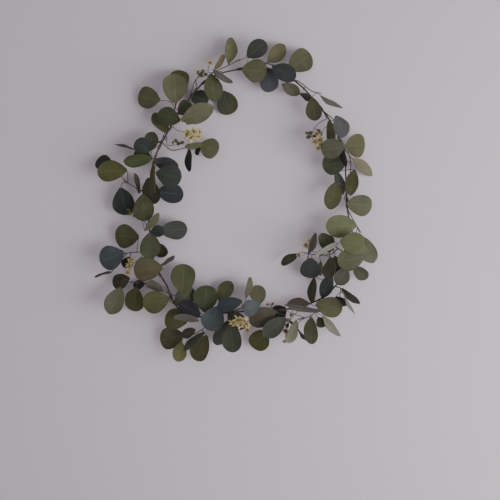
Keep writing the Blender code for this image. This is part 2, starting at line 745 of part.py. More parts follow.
def settled_stems(start, routes, room, owner):
    """The stems at the first lift that clears what is on the wreath, apart from their bound ends."""
    for step in range(MOST_STEPS):
        lines = lifted_stems(start, routes, step * DEPTH_STEP)
        free = [lines[0][FIRST_FREE_POINT:]] + [line[1:] for line in lines[1:]]
        if all(room.wire_is_clear(line, STEM_WIRE / 2, owner) for line in free):
            break
    for line in lines:
        room.add_wire(line, STEM_WIRE / 2, owner)
    return lines


def make_binding(name, start, collection, room):
    """A turn of tape round the hoop and one stem: an open sleeve of long round section."""
    first, last = hoop_stretch(start)
    middle = (first + last) / 2
    along = (last - first).normalized()
    stem_middle = (HOOP_WIRE + STEM_WIRE) / 2 + BINDING_GAP
    spread = stem_middle / 2
    corner = math.cos(math.pi / 8)
    inner = (max(HOOP_WIRE, STEM_WIRE) / 2 + BINDING_GAP) / corner
    shape = bmesh.new()
    bmesh.ops.create_cone(
        shape, cap_ends=False, segments=8, radius1=inner, radius2=inner, depth=BINDING_LENGTH
    )
    bmesh.ops.rotate(shape, verts=shape.verts, matrix=Matrix.Rotation(math.pi / 8, 3, "Z"))
    for vert in shape.verts:
        vert.co.x += math.copysign(spread, vert.co.x)
    mesh = bpy.data.meshes.new(name)
    shape.to_mesh(mesh)
    shape.free()
    across = Vector((0, -1, 0))
    turn = Matrix((across, along.cross(across), along)).transposed()
    mesh.transform(turn.to_4x4())
    mesh.transform(Matrix.Translation(middle + across * spread))
    if turn.determinant() < 0:
        mesh.flip_normals()
    binding = linked(name, mesh, collection)
    wall = binding.modifiers.new("Tape", "SOLIDIFY")
    wall.thickness = BINDING_WALL
    wall.offset = 1.0
    half = along * BINDING_LENGTH / 2
    outer = inner + BINDING_WALL
    for depth in (0.0, stem_middle):
        line = [middle - half + across * depth, middle + half + across * depth]
        room.add_wire(line, outer, name)
    binding.data.materials.append(material("tape"))
    return binding


def spray_line(start, side, route):
    """A thin wire glued beside the hoop, then led out along its route."""
    near_end, far_end = hoop_stretch(start)
    outward = (far_end - near_end).normalized().cross(Vector((0, 1, 0)))
    beside = outward * side * ((HOOP_WIRE + SPRAY_WIRE) / 2 + BINDING_GAP)
    first = near_end.lerp(far_end, 0.3) + beside
    second = near_end.lerp(far_end, 0.7) + beside
    leaving = [plan_point(x, z, depth * MM) for x, z, depth in route]
    return [first] + smooth_line([second] + leaving, 2, before=first)


def make_spray(name, row, colour, collection, room):
    """A thin wire with small heads, each on a short stalk from the nearest point of the wire."""
    start, side, route, heads = row
    line = spray_line(start, side, route)
    room.add_wire(line, SPRAY_WIRE / 2, name)
    stalks = []
    balls = []
    for number, (x, z, depth, size) in enumerate(heads):
        centre = plan_point(x, z, depth * MM)
        diameter = size * MM * SEED_SIZE
        near = min(line, key=lambda p: (p - centre).length)
        if (centre - near).length > SHORTEST_STALK:
            room.add_wire([near, centre], diameter / 2, name)
            stalk = [near, near.lerp(centre, 0.5), centre]
            stalks.append(wire(f"{name}_stalk_{number}", stalk, SPRAY_WIRE * 0.8, collection, resolution=0))
        balls.append(ball(f"{name}_head_{number}", centre, diameter, collection))
    stem = wire(name, line, SPRAY_WIRE, collection, resolution=0)
    return finish(united(stem, stalks + balls), colour)


def make_sprig(name, placed, collection, colour):
    stems = [
        wire(f"{name}_stem_{number}", line, STEM_WIRE, collection, resolution=0)
        for number, line in enumerate(placed[name]["stems"])
    ]
    pieces = []
    for number, (leaf, depth, petiole) in enumerate(placed[name]["leaves"]):
        into_blade = leaf.place(0, 0.10, depth)
        pieces.append(wire(f"{name}_petiole_{number}", petiole + [into_blade], PETIOLE_WIRE, collection, resolution=0))
        pieces.append(blade_solid(f"{name}_blade_{number}", leaf, depth, collection))
    sprig = united(stems[0], stems[1:] + pieces)
    sprig.name = name
    return finish(sprig, colour)


def main():
    for obj in list(bpy.data.objects):
        bpy.data.objects.remove(obj)
    wreath = bpy.data.collections.new("eucalyptus_wreath")
    bpy.context.scene.collection.children.link(wreath)
    room = Room()
    make_hoop(wreath, room)
    make_hanger(wreath, room)
    for name, (start, _, _) in SPRIGS.items():
        make_binding(name.replace("sprig", "binding"), start, wreath, room)
    placed = {}
    for name, (start, routes, _) in SPRIGS.items():
        placed[name] = {"stems": settled_stems(start, routes, room, name), "leaves": []}
    for name, row in SEED_SPRAYS.items():
        make_spray(name, row, "seed", wreath, room)
    for name, row in FLOWER_PICKS.items():
        make_spray(name, row, "cream", wreath, room)
    leaves = []
    for name, (_, _, rows) in SPRIGS.items():
        leaves += [(Leaf(row, len(leaves) + k), name) for k, row in enumerate(rows)]
    for leaf, name in sorted(leaves, key=lambda found: found[0].layer):
        depth, petiole = settled_leaf(leaf, room, placed[name]["stems"], name)
        placed[name]["leaves"].append((leaf, depth, petiole))
    tones = ("olive", "green", "slate")
    for number, name in enumerate(SPRIGS):
        make_sprig(name, placed, wreath, tones[number % 3])


main()
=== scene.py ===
"""Visual model of a eucalyptus door wreath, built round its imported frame.

Metres, +Z up, in the frame's own axes: the wreath stands in the XZ plane, its front faces -Y, and the origin
is the hanging point. Sprigs, seeds and flowers are laid out on the same front plan as the frame's own solids,
in millimetres from the middle of the hoop, so every leaf lies where its solid lies.
"""

import math

import bpy
from mathutils import Matrix, Vector
from mathutils.bvhtree import BVHTree


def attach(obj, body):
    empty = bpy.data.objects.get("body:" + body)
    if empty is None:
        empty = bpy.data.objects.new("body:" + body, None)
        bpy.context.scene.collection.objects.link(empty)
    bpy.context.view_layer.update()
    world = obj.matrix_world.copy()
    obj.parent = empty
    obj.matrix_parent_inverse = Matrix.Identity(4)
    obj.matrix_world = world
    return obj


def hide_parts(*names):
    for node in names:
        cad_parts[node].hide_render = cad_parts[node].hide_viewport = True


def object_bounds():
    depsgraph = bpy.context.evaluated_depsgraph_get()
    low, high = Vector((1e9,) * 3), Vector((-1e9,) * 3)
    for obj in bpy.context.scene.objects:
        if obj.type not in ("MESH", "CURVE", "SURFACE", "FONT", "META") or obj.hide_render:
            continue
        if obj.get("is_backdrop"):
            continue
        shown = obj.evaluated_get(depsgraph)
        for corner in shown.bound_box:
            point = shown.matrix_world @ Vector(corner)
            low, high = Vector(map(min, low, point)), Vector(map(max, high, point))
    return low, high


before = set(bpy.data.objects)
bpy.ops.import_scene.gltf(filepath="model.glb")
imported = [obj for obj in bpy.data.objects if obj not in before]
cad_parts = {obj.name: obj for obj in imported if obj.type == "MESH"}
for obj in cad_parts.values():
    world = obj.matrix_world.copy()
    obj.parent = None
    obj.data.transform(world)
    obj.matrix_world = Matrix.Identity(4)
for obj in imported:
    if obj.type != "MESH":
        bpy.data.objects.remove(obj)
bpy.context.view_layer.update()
bpy.ops.object.select_all(action="DESELECT")

MM = 0.001

# Wires and bindings, as in the frame.
HOOP_WIRE = 0.0032
STEM_WIRE = 0.0024
PETIOLE_WIRE = 0.0017
SPRAY_WIRE = 0.0016
BINDING_GAP = 0.0005
BINDING_WALL = 0.0007
BINDING_LENGTH = 0.010
BINDING_BORE = max(HOOP_WIRE, STEM_WIRE) / 2 + BINDING_GAP
STEM_IN_FRONT = (HOOP_WIRE + STEM_WIRE) / 2 + BINDING_GAP

# How stems and leaves are settled in front of one another, as in the frame. A bow is how far a petiole goes
# towards the front and to one side, in millimetres.
LEAF_CLEARANCE = 0.0022
WIRE_CLEARANCE = 0.0012
WIRE_SPACING = 0.0025
CLEARANCE_GRID = (6, 8)
LAYER_DEPTH = {0: -0.010, 1: 0.004, 2: 0.014, 3: 0.026}
STEM_RISE = 0.0035
DEPTH_STEP = 0.0015
MOST_STEPS = 70
FIRST_FREE_POINT = 3
BRANCH_POINT = 4
PETIOLE_STARTS = 6
PETIOLE_BOWS = ((0, 0), (6, 0), (-6, 0), (0, 7), (0, -7), (12, 0), (-12, 0), (0, 14), (0, -14))

# The hanger, as in the frame.
HANGER_STRETCH = 1
HANGER_WIRE = 0.0016
HANGER_EYE_GAP = 0.0008
HANGER_HOOK_EYE = 0.0065
HANGER_NECK = 0.010
HANGER_SWING_ROOM = 0.034
HANGER_SWING = 120

# What shows: the leaf blades, the wires and their wraps.
LEAF_THICKNESS = 0.0007
LEAF_ACROSS = 10
LEAF_ALONG = 14
OUTLINE_WAVE = 0.035
EDGE_WAVE = 0.0007
MIDRIB_DEPTH = 0.0006
MIDRIB_SHARE = 0.10
SHORTEST_STALK = 0.002
STEM_SPANS = 6
MIDRIB_STOPS = (0.06, 0.16, 0.30, 0.48, 0.68, 0.86)
HOOP_AROUND = 10
HOOP_ALONG = 432
TORUS_WIRE = 0.1
TAPE_SIDES = 20
TAPE_TURNS = 5
TAPE_LAP = 1.10
TAPE_SLANT = 0.0005
EYE_SIDES = 40
NECK_STEPS = 36
NECK_TURNS = 2
STRAND_RADIUS = HANGER_WIRE * 0.42
STAMENS = 12
SHARP_CORNER = 60
TAPE_CORNER = 35
WALL_SIZE = 5.0
WALL_GAP = 0.006
FLOOR_SIZE = 8.0
FLOOR_DROP = 0.72

# Each ring of a flower's petals: how many, their lean, length and width, for a flower of unit size.
BLOSSOM_RINGS = ((9, 0.15, 0.56, 0.15), (8, 0.62, 0.54, 0.13), (6, 1.12, 0.50, 0.12))

# Finishes.
TONE_GAIN = 1.08
UNDER_GAIN = 0.97
LEAF_SHEEN = 0.04
UNDER_TONE = (0.140, 0.150, 0.134, 1.0)
BLOOM_TONE = (0.135, 0.145, 0.130, 1.0)
WARM_TINT = (1.03, 1.05, 0.84, 1.0)
RIB_TONE = (0.120, 0.125, 0.085, 1.0)
EDGE_TONE = (0.046, 0.036, 0.024, 1.0)
SEED_DARK = "2f3017"
SEED_PALE = "6c6a3c"
PETAL_TONE = "c2b07c"
PETAL_HEART = "5a421c"
WALL_TONE = "d3c8d1"
FLOOR_TONE = "d6d2d0"
HEAD_LEAN = {"seed_case": 0.3, "cream_petal": 0.9}
HEAD_SIZE = {"seed_case": 1.0, "cream_petal": 1.12}

# The view, square on to the wall: its middle on the front plan, metres away, and metres across at the hoop.
VIEW_CENTRE = (30, -104)
VIEW_DISTANCE = 1.5
VIEW_WIDTH = 1.0
SENSOR_WIDTH = 36.0

# Soft room light, the most of it from below on the right: name, place, target, size, power and colour.
LIGHTS = [
    ("window", (1.6, -1.05, -1.45), (0.1, 0.0, -0.50), 3.2, 158.0, (1.0, 0.995, 1.0)),
    ("room", (-1.0, -2.4, 0.3), (0.0, 0.0, -0.40), 2.4, 5.0, (1.0, 1.0, 1.0)),
]
SKY_STRENGTH = 0.355
SKY_COLOUR = (0.985, 0.985, 1.0)

# The hoop's route on the front plan, clockwise from the top, and how many straight stretches it has from each
# point to the next. Bindings sit in the middle of a stretch.
HOOP_STRETCHES = 3
HOOP_PLAN = [
    (0, 256), (62, 260), (118, 236), (165, 188), (200, 138), (219, 82), (222, 24), (226, -32),
    (236, -84), (222, -140), (186, -192), (128, -218), (60, -226), (-10, -228), (-72, -238), (-116, -218),
    (-137, -174), (-163, -128), (-171, -62), (-172, 4), (-163, 72), (-136, 130), (-98, 190), (-54, 238),
]

# Each sprig: where its binding sits along the hoop's points, the routes of its stem and side branches, and
# its leaves as (base x, base z, tip x, tip z, width, layer, pitch, roll, tone).
SPRIGS = {
    "sprig_01": (22.6, [[(-42, 250), (-14, 262), (10, 274)]], [
        (-25, 216, -9, 171, 44, 0, -10, 8, "3a3d30"),
        (-48, 246, -38, 191, 37, 1, 8, -14, "41442f"),
        (-13, 268, -4, 322, 31, 1, -6, 40, "55553a"),
        (24, 279, 61, 305, 36, 2, 12, 10, "2b2e2b"),
        (-41, 255, -19, 283, 22, 1, 10, 70, "5a5038"),
        (-43, 253, -5, 222, 24, 2, 14, 132, "5a544c"),
        (-90, 208, -54, 197, 34, 0, -12, 12, "262821"),
    ]),
    "sprig_02": (0.0, [[(44, 270), (74, 264), (98, 254)]], [
        (14, 254, 62, 247, 45, 2, 10, 12, "50503a"),
        (61, 259, 74, 213, 42, 1, -8, -16, "2b2e35"),
        (66, 271, 103, 308, 32, 1, -14, 24, "4c4a32"),
        (108, 256, 153, 292, 47, 1, -16, 10, "45442f"),
        (74, 257, 118, 233, 38, 3, 12, -12, "2e3133"),
    ]),
    "sprig_03": (1.7, [[(130, 230), (152, 212), (172, 206)]], [
        (94, 227, 130, 208, 24, 1, -10, 18, "4c483a"),
        (130, 207, 152, 198, 28, 1, 10, 74, "34332f"),
        (169, 202, 209, 170, 28, 2, 16, 126, "5b584c"),
        (152, 198, 160, 153, 32, 1, -8, 14, "44432f"),
    ]),
    "sprig_04": (2.9, [[(184, 166), (198, 152), (214, 122)]], [
        (185, 150, 189, 103, 30, 2, 6, 62, "5b5a43"),
        (198, 159, 219, 120, 34, 1, -12, -12, "3b3b3e"),
        (220, 104, 261, 106, 48, 1, -10, 12, "4b4a30"),
        (215, 98, 170, 90, 40, 3, 14, -10, "3a3c2c"),
    ]),
    "sprig_05": (4.3, [[(228, 84), (230, 56), (224, 24), (216, -4)]], [
        (221, 74, 175, 62, 46, 1, 6, 12, "3c4033"),
        (235, 78, 281, 47, 25, 1, -18, -12, "5f5947"),
        (236, 55, 226, 4, 27, 2, 10, 20, "4a4a32"),
        (201, 53, 218, 7, 25, 1, -8, -26, "34372c"),
        (199, 29, 186, -23, 34, 3, 12, 10, "4b4a34"),
        (208, 112, 216, 60, 26, 2, 4, 68, "3a3636"),
    ]),
    "sprig_06": (6.25, [[(222, -18), (236, -46), (250, -70)]], [
        (222, -10, 274, -18, 43, 1, -12, 10, "4a4b37"),
        (240, -56, 181, -58, 46, 2, 14, -12, "56593f"),
        (250, -76, 279, -132, 37, 1, -16, 20, "5e5f4e"),
        (206, -86, 254, -96, 45, 3, 6, 10, "4f5538"),
    ]),
    "sprig_07": (7.55, [[(246, -98), (240, -136)]], [
        (257, -116, 203, -128, 44, 2, 8, -10, "474a38"),
        (236, -138, 265, -162, 26, 1, -10, 14, "3c3f2e"),
        (224, -140, 204, -172, 34, 1, 10, -18, "33352b"),
    ]),
    "sprig_08": (8.2, [[(207, -102), (190, -113), (158, -113), (138, -109)]], [
        (204, -99, 181, -82, 24, 1, 8, 70, "2c3024"),
        (187, -109, 172, -70, 27, 1, -14, 12, "3d402f"),
        (143, -112, 161, -72, 26, 2, 12, 118, "544d4b"),
        (126, -111, 92, -132, 26, 1, 10, 50, "3d3e2c"),
        (152, -120, 149, -161, 42, 1, -8, 10, "353837"),
        (172, -127, 171, -156, 18, 0, -8, 140, "4f4843"),
        (188, -118, 184, -161, 34, 2, 12, 50, "484a3a"),
        (200, -116, 204, -152, 30, 1, 8, -16, "444a35"),
        (198, -104, 176, -78, 34, 0, 8, 24, "2c3024"),
        (204, -90, 156, -110, 18, 3, -10, 128, "7c7c76"),
    ]),
    "sprig_09": (9.3, [[(210, -180), (208, -198)]], [
        (191, -152, 172, -199, 27, 1, -8, 12, "2b2f30"),
        (157, -157, 150, -208, 30, 2, 10, 60, "3c3f2c"),
        (212, -180, 246, -216, 26, 1, -12, 58, "38342c"),
        (212, -186, 232, -232, 26, 2, 10, 108, "6b6560"),
        (200, -196, 222, -215, 24, 1, -8, 44, "2c2d28"),
    ]),
    "sprig_10": (10.1, [[(166, -216), (152, -234), (126, -242)]], [
        (161, -210, 211, -223, 42, 2, 8, 10, "52513a"),
        (150, -211, 104, -210, 32, 1, -8, 54, "5b4f47"),
        (98, -211, 170, -231, 20, 3, 12, 124, "655c56"),
        (150, -236, 148, -288, 36, 2, 8, 44, "5d5e48"),
        (166, -238, 178, -258, 22, 1, -6, 12, "41492f"),
        (173, -234, 206, -278, 24, 1, -14, 130, "6a6055"),
        (122, -243, 107, -287, 34, 2, 12, -50, "5a5848"),
        (126, -262, 139, -286, 22, 1, 6, 74, "222222"),
    ]),
    "sprig_11": (11.3, [[(86, -238), (64, -252)]], [
        (102, -220, 76, -241, 34, 0, -8, 16, "2e2e2c"),
        (100, -237, 57, -272, 36, 3, 10, -12, "2e312a"),
        (62, -264, 37, -304, 43, 1, -14, 8, "45442a"),
        (82, -225, 29, -246, 38, 2, 6, 12, "4b443a"),
    ]),
    "sprig_12": (12.15, [[(26, -218), (4, -222), (-14, -240)]], [
        (50, -209, 18, -223, 34, 3, 10, -14, "41474a"),
        (48, -213, 44, -174, 34, 1, -10, 12, "4f4f38"),
        (22, -201, 33, -158, 28, 2, 6, 64, "4b4c3a"),
        (14, -204, -33, -212, 38, 2, 10, 46, "333d42"),
        (-32, -206, -9, -166, 31, 1, -12, -10, "4c5034"),
        (-8, -248, -3, -303, 40, 2, 12, 12, "3b3f35"),
        (-15, -246, -36, -297, 34, 1, -8, -22, "2a2b26"),
        (-12, -222, 18, -260, 34, 1, -8, 12, "22251e"),
    ]),
    "sprig_13": (13.35, [[(-40, -240), (-66, -262), (-98, -278)]], [
        (-33, -215, -50, -261, 46, 3, 8, 12, "40464a"),
        (-59, -227, -58, -174, 50, 2, -6, -10, "454b35"),
        (-56, -275, -83, -326, 41, 1, -14, 16, "4a4932"),
        (-60, -267, -103, -297, 30, 2, 10, 62, "4a5046"),
        (-106, -286, -112, -325, 28, 2, 6, -10, "4c4c30"),
        (-102, -273, -151, -287, 44, 1, -12, 10, "4a4632"),
        (-78, -261, -104, -272, 24, 1, 8, 40, "403a30"),
    ]),
    "sprig_14": (14.35, [[(-104, -240), (-122, -232)]], [
        (-68, -231, -108, -208, 34, 2, 10, -16, "26262e"),
        (-70, -243, -116, -227, 30, 3, 14, 128, "474240"),
        (-94, -246, -139, -236, 44, 1, -12, 12, "474a2c"),
    ]),
    "sprig_15": (15.2, [[(-131, -190), (-140, -176)]], [
        (-120, -213, -83, -182, 38, 1, -8, 14, "464839"),
        (-105, -190, -101, -131, 50, 2, -10, 10, "41462c"),
        (-130, -200, -180, -212, 45, 2, 10, -12, "45452a"),
        (-142, -186, -176, -168, 28, 1, 8, 136, "5b5548"),
    ]),
    "sprig_16": (16.25, [[(-176, -164), (-204, -168), (-222, -160)]], [
        (-197, -179, -206, -228, 42, 1, -12, 12, "45462a"),
        (-226, -178, -247, -230, 38, 2, 10, -14, "454838"),
        (-210, -160, -247, -172, 32, 1, -10, 12, "37362a"),
        (-182, -172, -206, -176, 20, 0, -8, 16, "2c2c2c"),
        (-142, -138, -197, -144, 48, 3, 8, 12, "4c4834"),
        (-148, -135, -119, -118, 24, 1, 8, 74, "352f2a"),
    ]),
    "sprig_17": (17.1, [[(-184, -108), (-206, -109), (-222, -113)]], [
        (-220, -108, -265, -128, 49, 2, 8, 10, "373c40"),
        (-208, -118, -224, -138, 20, 1, -10, 12, "252823"),
        (-246, -148, -283, -155, 20, 1, -8, 72, "45403a"),
        (-156, -90, -142, -118, 28, 1, -12, 14, "2e2f20"),
        (-167, -71, -165, -119, 43, 3, 12, 12, "474b38"),
        (-192, -78, -242, -75, 48, 1, -10, -10, "46462f"),
    ]),
    "sprig_18": (18.1, [[(-180, -22), (-182, 4)]], [
        (-150, -66, -96, -62, 39, 1, -14, 10, "323430"),
        (-168, -68, -140, -66, 24, 2, 8, -14, "2c2d33"),
        (-177, -67, -147, -33, 24, 2, 10, 60, "494738"),
        (-181, 5, -178, -46, 44, 2, 8, 12, "43462f"),
        (-169, 38, -162, -14, 37, 1, -12, 14, "2b2c21"),
    ]),
    "sprig_19": (18.9, [[(-186, 14), (-204, 24), (-221, 34)], [(-164, 42), (-160, 60)]], [
        (-228, 20, -218, -34, 47, 1, -10, 10, "2a2e2e"),
        (-194, 11, -197, 51, 22, 0, 6, 72, "45423a"),
        (-214, 55, -271, 50, 43, 2, 8, 10, "484a2d"),
        (-244, 60, -278, 77, 34, 1, -14, 12, "30322e"),
        (-156, 12, -103, 8, 42, 1, -10, -12, "272a2f"),
        (-156, 48, -106, 38, 46, 2, 10, 10, "363b38"),
        (-162, 75, -114, 58, 32, 1, -8, 30, "363738"),
        (-159, 65, -160, 7, 26, 3, 8, 60, "4d4b32"),
        (-162, 77, -216, 66, 34, 3, 12, -50, "374023"),
    ]),
    "sprig_20": (20.2, [[(-147, 112), (-139, 130)], [(-126, 95), (-98, 99), (-80, 101)]], [
        (-168, 90, -195, 111, 34, 2, 8, 12, "2b302e"),
        (-170, 91, -163, 132, 28, 1, -10, 12, "36372a"),
        (-203, 97, -240, 113, 24, 1, -8, 72, "33301f"),
        (-134, 128, -162, 172, 30, 1, -12, 20, "4d4d33"),
        (-92, 100, -92, 52, 28, 1, 10, 56, "26282a"),
        (-69, 108, -34, 92, 42, 1, -12, 10, "40402a"),
        (-70, 101, -78, 86, 18, 1, -8, 48, "2b302b"),
        (-62, 105, -98, 98, 20, 1, 4, -58, "4d4f36"),
        (-170, 84, -203, 92, 27, 0, 6, 20, "38322a"),
    ]),
    "sprig_21": (21.2, [[(-120, 168), (-116, 188)]], [
        (-108, 152, -152, 164, 39, 2, 10, 10, "323722"),
        (-150, 195, -197, 206, 44, 1, -12, -10, "50503a"),
        (-106, 151, -42, 175, 38, 2, 12, 10, "5a5a45"),
        (-118, 186, -118, 242, 50, 2, 8, 10, "4e4d38"),
        (-112, 212, -111, 260, 41, 1, -14, 8, "44452c"),
        (-112, 166, -88, 190, 30, 1, -8, 12, "363b27"),
        (-80, 151, -97, 147, 16, 1, 8, 58, "2f2f28"),
    ]),
}


# Seed sprays and flower picks: where the wire is glued along the hoop, on its outer (1) or inner (-1) side,
# the wire's route as (x, z, depth towards the front), and the heads as (x, z, depth, size across).
SEED_SPRAYS = {
    "seed_spray_1": (22.35, 1, [(-78, 234, 6), (-70, 244, 9)],
                     [(-72, 248, 9, 8), (-64, 250, 10, 8), (-66, 242, 11, 7), (-58, 246, 8, 6)]),
    "seed_spray_2": (20.75, -1, [(-134, 105, 6), (-112, 106, 10)],
                     [(-123, 110, 8, 5), (-117, 113, 9, 7), (-112, 107, 12, 8), (-105, 109, 12, 7)]),
    "seed_spray_3": (3.35, -1, [(172, 152, 6), (158, 138, 12), (152, 122, 14)],
                     [(146, 120, 14, 8), (150, 128, 15, 8), (158, 122, 14, 7), (166, 132, 12, 8),
                      (143, 128, 12, 6), (158, 110, 14, 6)]),
    "seed_spray_4": (11.05, 1, [(116, -228, 8), (108, -242, 12)],
                     [(112, -233, 13, 7), (105, -243, 14, 8), (104, -254, 12, 8), (112, -248, 12, 6)]),
    "seed_spray_5": (11.75, -1, [(74, -218, 4), (70, -212, 6)],
                     [(65, -212, 7, 5), (75, -211, 7, 5)]),
    "seed_spray_6": (18.6, 1, [(-190, -22, 8), (-202, -26, 12)],
                     [(-207, -31, 14, 8), (-201, -27, 16, 7), (-199, -35, 12, 7), (-211, -24, 12, 6)]),
}
FLOWER_PICKS = {
    "flower_pick_1": (21.0, -1, [(-116, 134, 14), (-98, 126, 30)],
                      [(-94, 124, 34, 15), (-86, 116, 36, 15), (-82, 127, 37, 16), (-73, 118, 36, 15),
                       (-70, 127, 34, 12)]),
    "flower_pick_2": (3.6, -1, [(180, 140, 14), (172, 128, 28)],
                      [(162, 124, 30, 12), (167, 113, 34, 15), (158, 108, 33, 13), (171, 102, 32, 14),
                       (163, 97, 31, 11)]),
    "flower_pick_3": (12.8, -1, [(0, -212, 34), (2, -228, 57)],
                      [(-2, -243, 59, 14), (6, -236, 61, 15), (11, -247, 60, 14), (18, -239, 60, 14),
                       (24, -248, 58, 11)]),
    "flower_pick_4": (12.45, 1, [(30, -240, 10), (26, -254, 14)], [(25, -262, 15, 12)]),
    "flower_pick_5": (8.6, -1, [(200, -122, 20), (150, -106, 26)],
                      [(127, -114, 26, 10), (141, -96, 28, 13), (146, -87, 28, 9)]),
    "flower_pick_6": (10.75, 1, [(114, -238, 4), (104, -258, 8)],
                      [(101, -264, 9, 12), (104, -273, 9, 10), (99, -285, 8, 10)]),
    "flower_pick_7": (17.4, 1, [(-186, -118, 14), (-200, -130, 22)],
                      [(-206, -135, 25, 14), (-210, -147, 24, 13), (-204, -124, 24, 12)]),
    "flower_pick_8": (23.4, 1, [(-52, 250, 4), (-52, 262, 6)], [(-50, 267, 7, 12)]),
}


# ---- The front plan, hoop and stems, as in the frame ----


def spline_point(before, start, end, after, t):
    """A point on the Catmull-Rom curve between start and end."""
    slope_in = (end - before) / 2
    slope_out = (after - start) / 2
    return (
        start * (2 * t**3 - 3 * t**2 + 1)
        + slope_in * (t**3 - 2 * t**2 + t)
        + end * (3 * t**2 - 2 * t**3)
        + slope_out * (t**3 - t**2)
    )


def hoop_plan_point(place):
    """The hoop's middle line on the front plan, at a place counted in plan points."""
    count = len(HOOP_PLAN)
    first = math.floor(place)
    around = [Vector(HOOP_PLAN[(first + k) % count]) for k in (-1, 0, 1, 2)]
    return spline_point(*around, place - first)


HANGER_EYE = (HOOP_WIRE + HANGER_WIRE) / 2 + HANGER_EYE_GAP
HANGER_PLACE = (
    hoop_plan_point(HANGER_STRETCH / HOOP_STRETCHES) + hoop_plan_point((HANGER_STRETCH + 1) / HOOP_STRETCHES)
) / 2
HANGER_DROP = HANGER_HOOK_EYE + HANGER_NECK + HANGER_EYE


def forward(depth):
    """A move towards the front."""
    return Vector((0, -depth, 0))


def plan_point(x, z, depth=0.0):
    """A place on the front plan, in metres from the hanging point. Depth is towards the front."""
    return Vector(((x - HANGER_PLACE.x) * MM, -depth, (z - HANGER_PLACE.y) * MM - HANGER_DROP))


def hoop_point(place):
    return plan_point(*hoop_plan_point(place))


def hoop_stretch(place):
    """The two ends of the hoop's straight stretch nearest the place."""
    first = round(place * HOOP_STRETCHES)
    return [hoop_point((first + k) / HOOP_STRETCHES) for k in (0, 1)]


def outward(near_end, far_end):
    """The direction in the wreath's plane that leads away from a stretch of the hoop."""
    return (far_end - near_end).normalized().cross(Vector((0, 1, 0)))


def smooth_line(points, spans, before=None):
    """A smooth open line through the points, with the given number of pieces in each stretch. It may lead on
    from a point before the first."""
    ends = [before or 2 * points[0] - points[1]] + points + [2 * points[-1] - points[-2]]
    line = []
    for k in range(len(points) - 1):
        line += [spline_point(*ends[k : k + 4], step / spans) for step in range(spans)]
    return line + [points[-1]]


def resampled(line, spacing):
    """The same line with a point at least every spacing."""
    found = []
    for start, end in zip(line, line[1:]):
        count = max(1, math.ceil((end - start).length / spacing))
        found += [start.lerp(end, k / count) for k in range(count)]
    return found + [line[-1]]


def bound_stem(start):
    """The first part of a sprig's stem, straight along the front of the hoop, where its binding holds it."""
    in_front = forward(STEM_IN_FRONT)
    first, last = hoop_stretch(start)
    return [first + in_front, (first + last) / 2 + in_front, last + in_front]


def lifted_stems(start, routes, lift, spans=2):
    """The sprig's stem and its side branches, lifted towards the front from where they leave the hoop."""
    bound = bound_stem(start)
    depth = lift - bound[0].y
    lines = []
    for route in routes:
        leaving = [plan_point(*place, depth + STEM_RISE * (k + 1)) for k, place in enumerate(route)]
        if lines:
            branch = lines[0][2 + (BRANCH_POINT - 2) * spans // 2]
            lines.append(smooth_line([branch] + leaving, spans))
        else:
            lines.append(bound[:2] + smooth_line(bound[2:] + leaving, spans, before=bound[1]))
    return lines


def spray_line(start, side, route, spans=2):
    """A thin wire glued beside the hoop, then led out along its route."""
    near_end, far_end = hoop_stretch(start)
    beside = outward(near_end, far_end) * side * ((HOOP_WIRE + SPRAY_WIRE) / 2 + BINDING_GAP)
    first = near_end.lerp(far_end, 0.3) + beside
    second = near_end.lerp(far_end, 0.7) + beside
    leaving = [plan_point(x, z, depth * MM) for x, z, depth in route]
    return [first] + smooth_line([second] + leaving, spans, before=first)


# ---- Leaves ----


def leaf_form(number):
    """How far a leaf arches back and how deep it cups: each leaf a little different."""
    arch = 0.03 + 0.11 * ((number * 0.618) % 1.0)
    cup = 0.04 + 0.10 * ((number * 0.382) % 1.0)
    return arch, cup


def half_width(t, slim):
    """Half the leaf's width at t along it, as a share of half its full width. A broad leaf widens slowly from
    its base and has a round end, and a slim one is pointed at both ends."""
    widest = 0.58 - 0.08 * slim
    if t < widest:
        return max(0.10, 1 - ((widest - t) / widest) ** 1.8) ** 0.75
    beyond = ((t - widest) / (1 - widest)) ** (2.3 - 0.5 * slim)
    return max(0.09 - 0.07 * slim, 1 - beyond) ** (0.5 + 0.3 * slim)


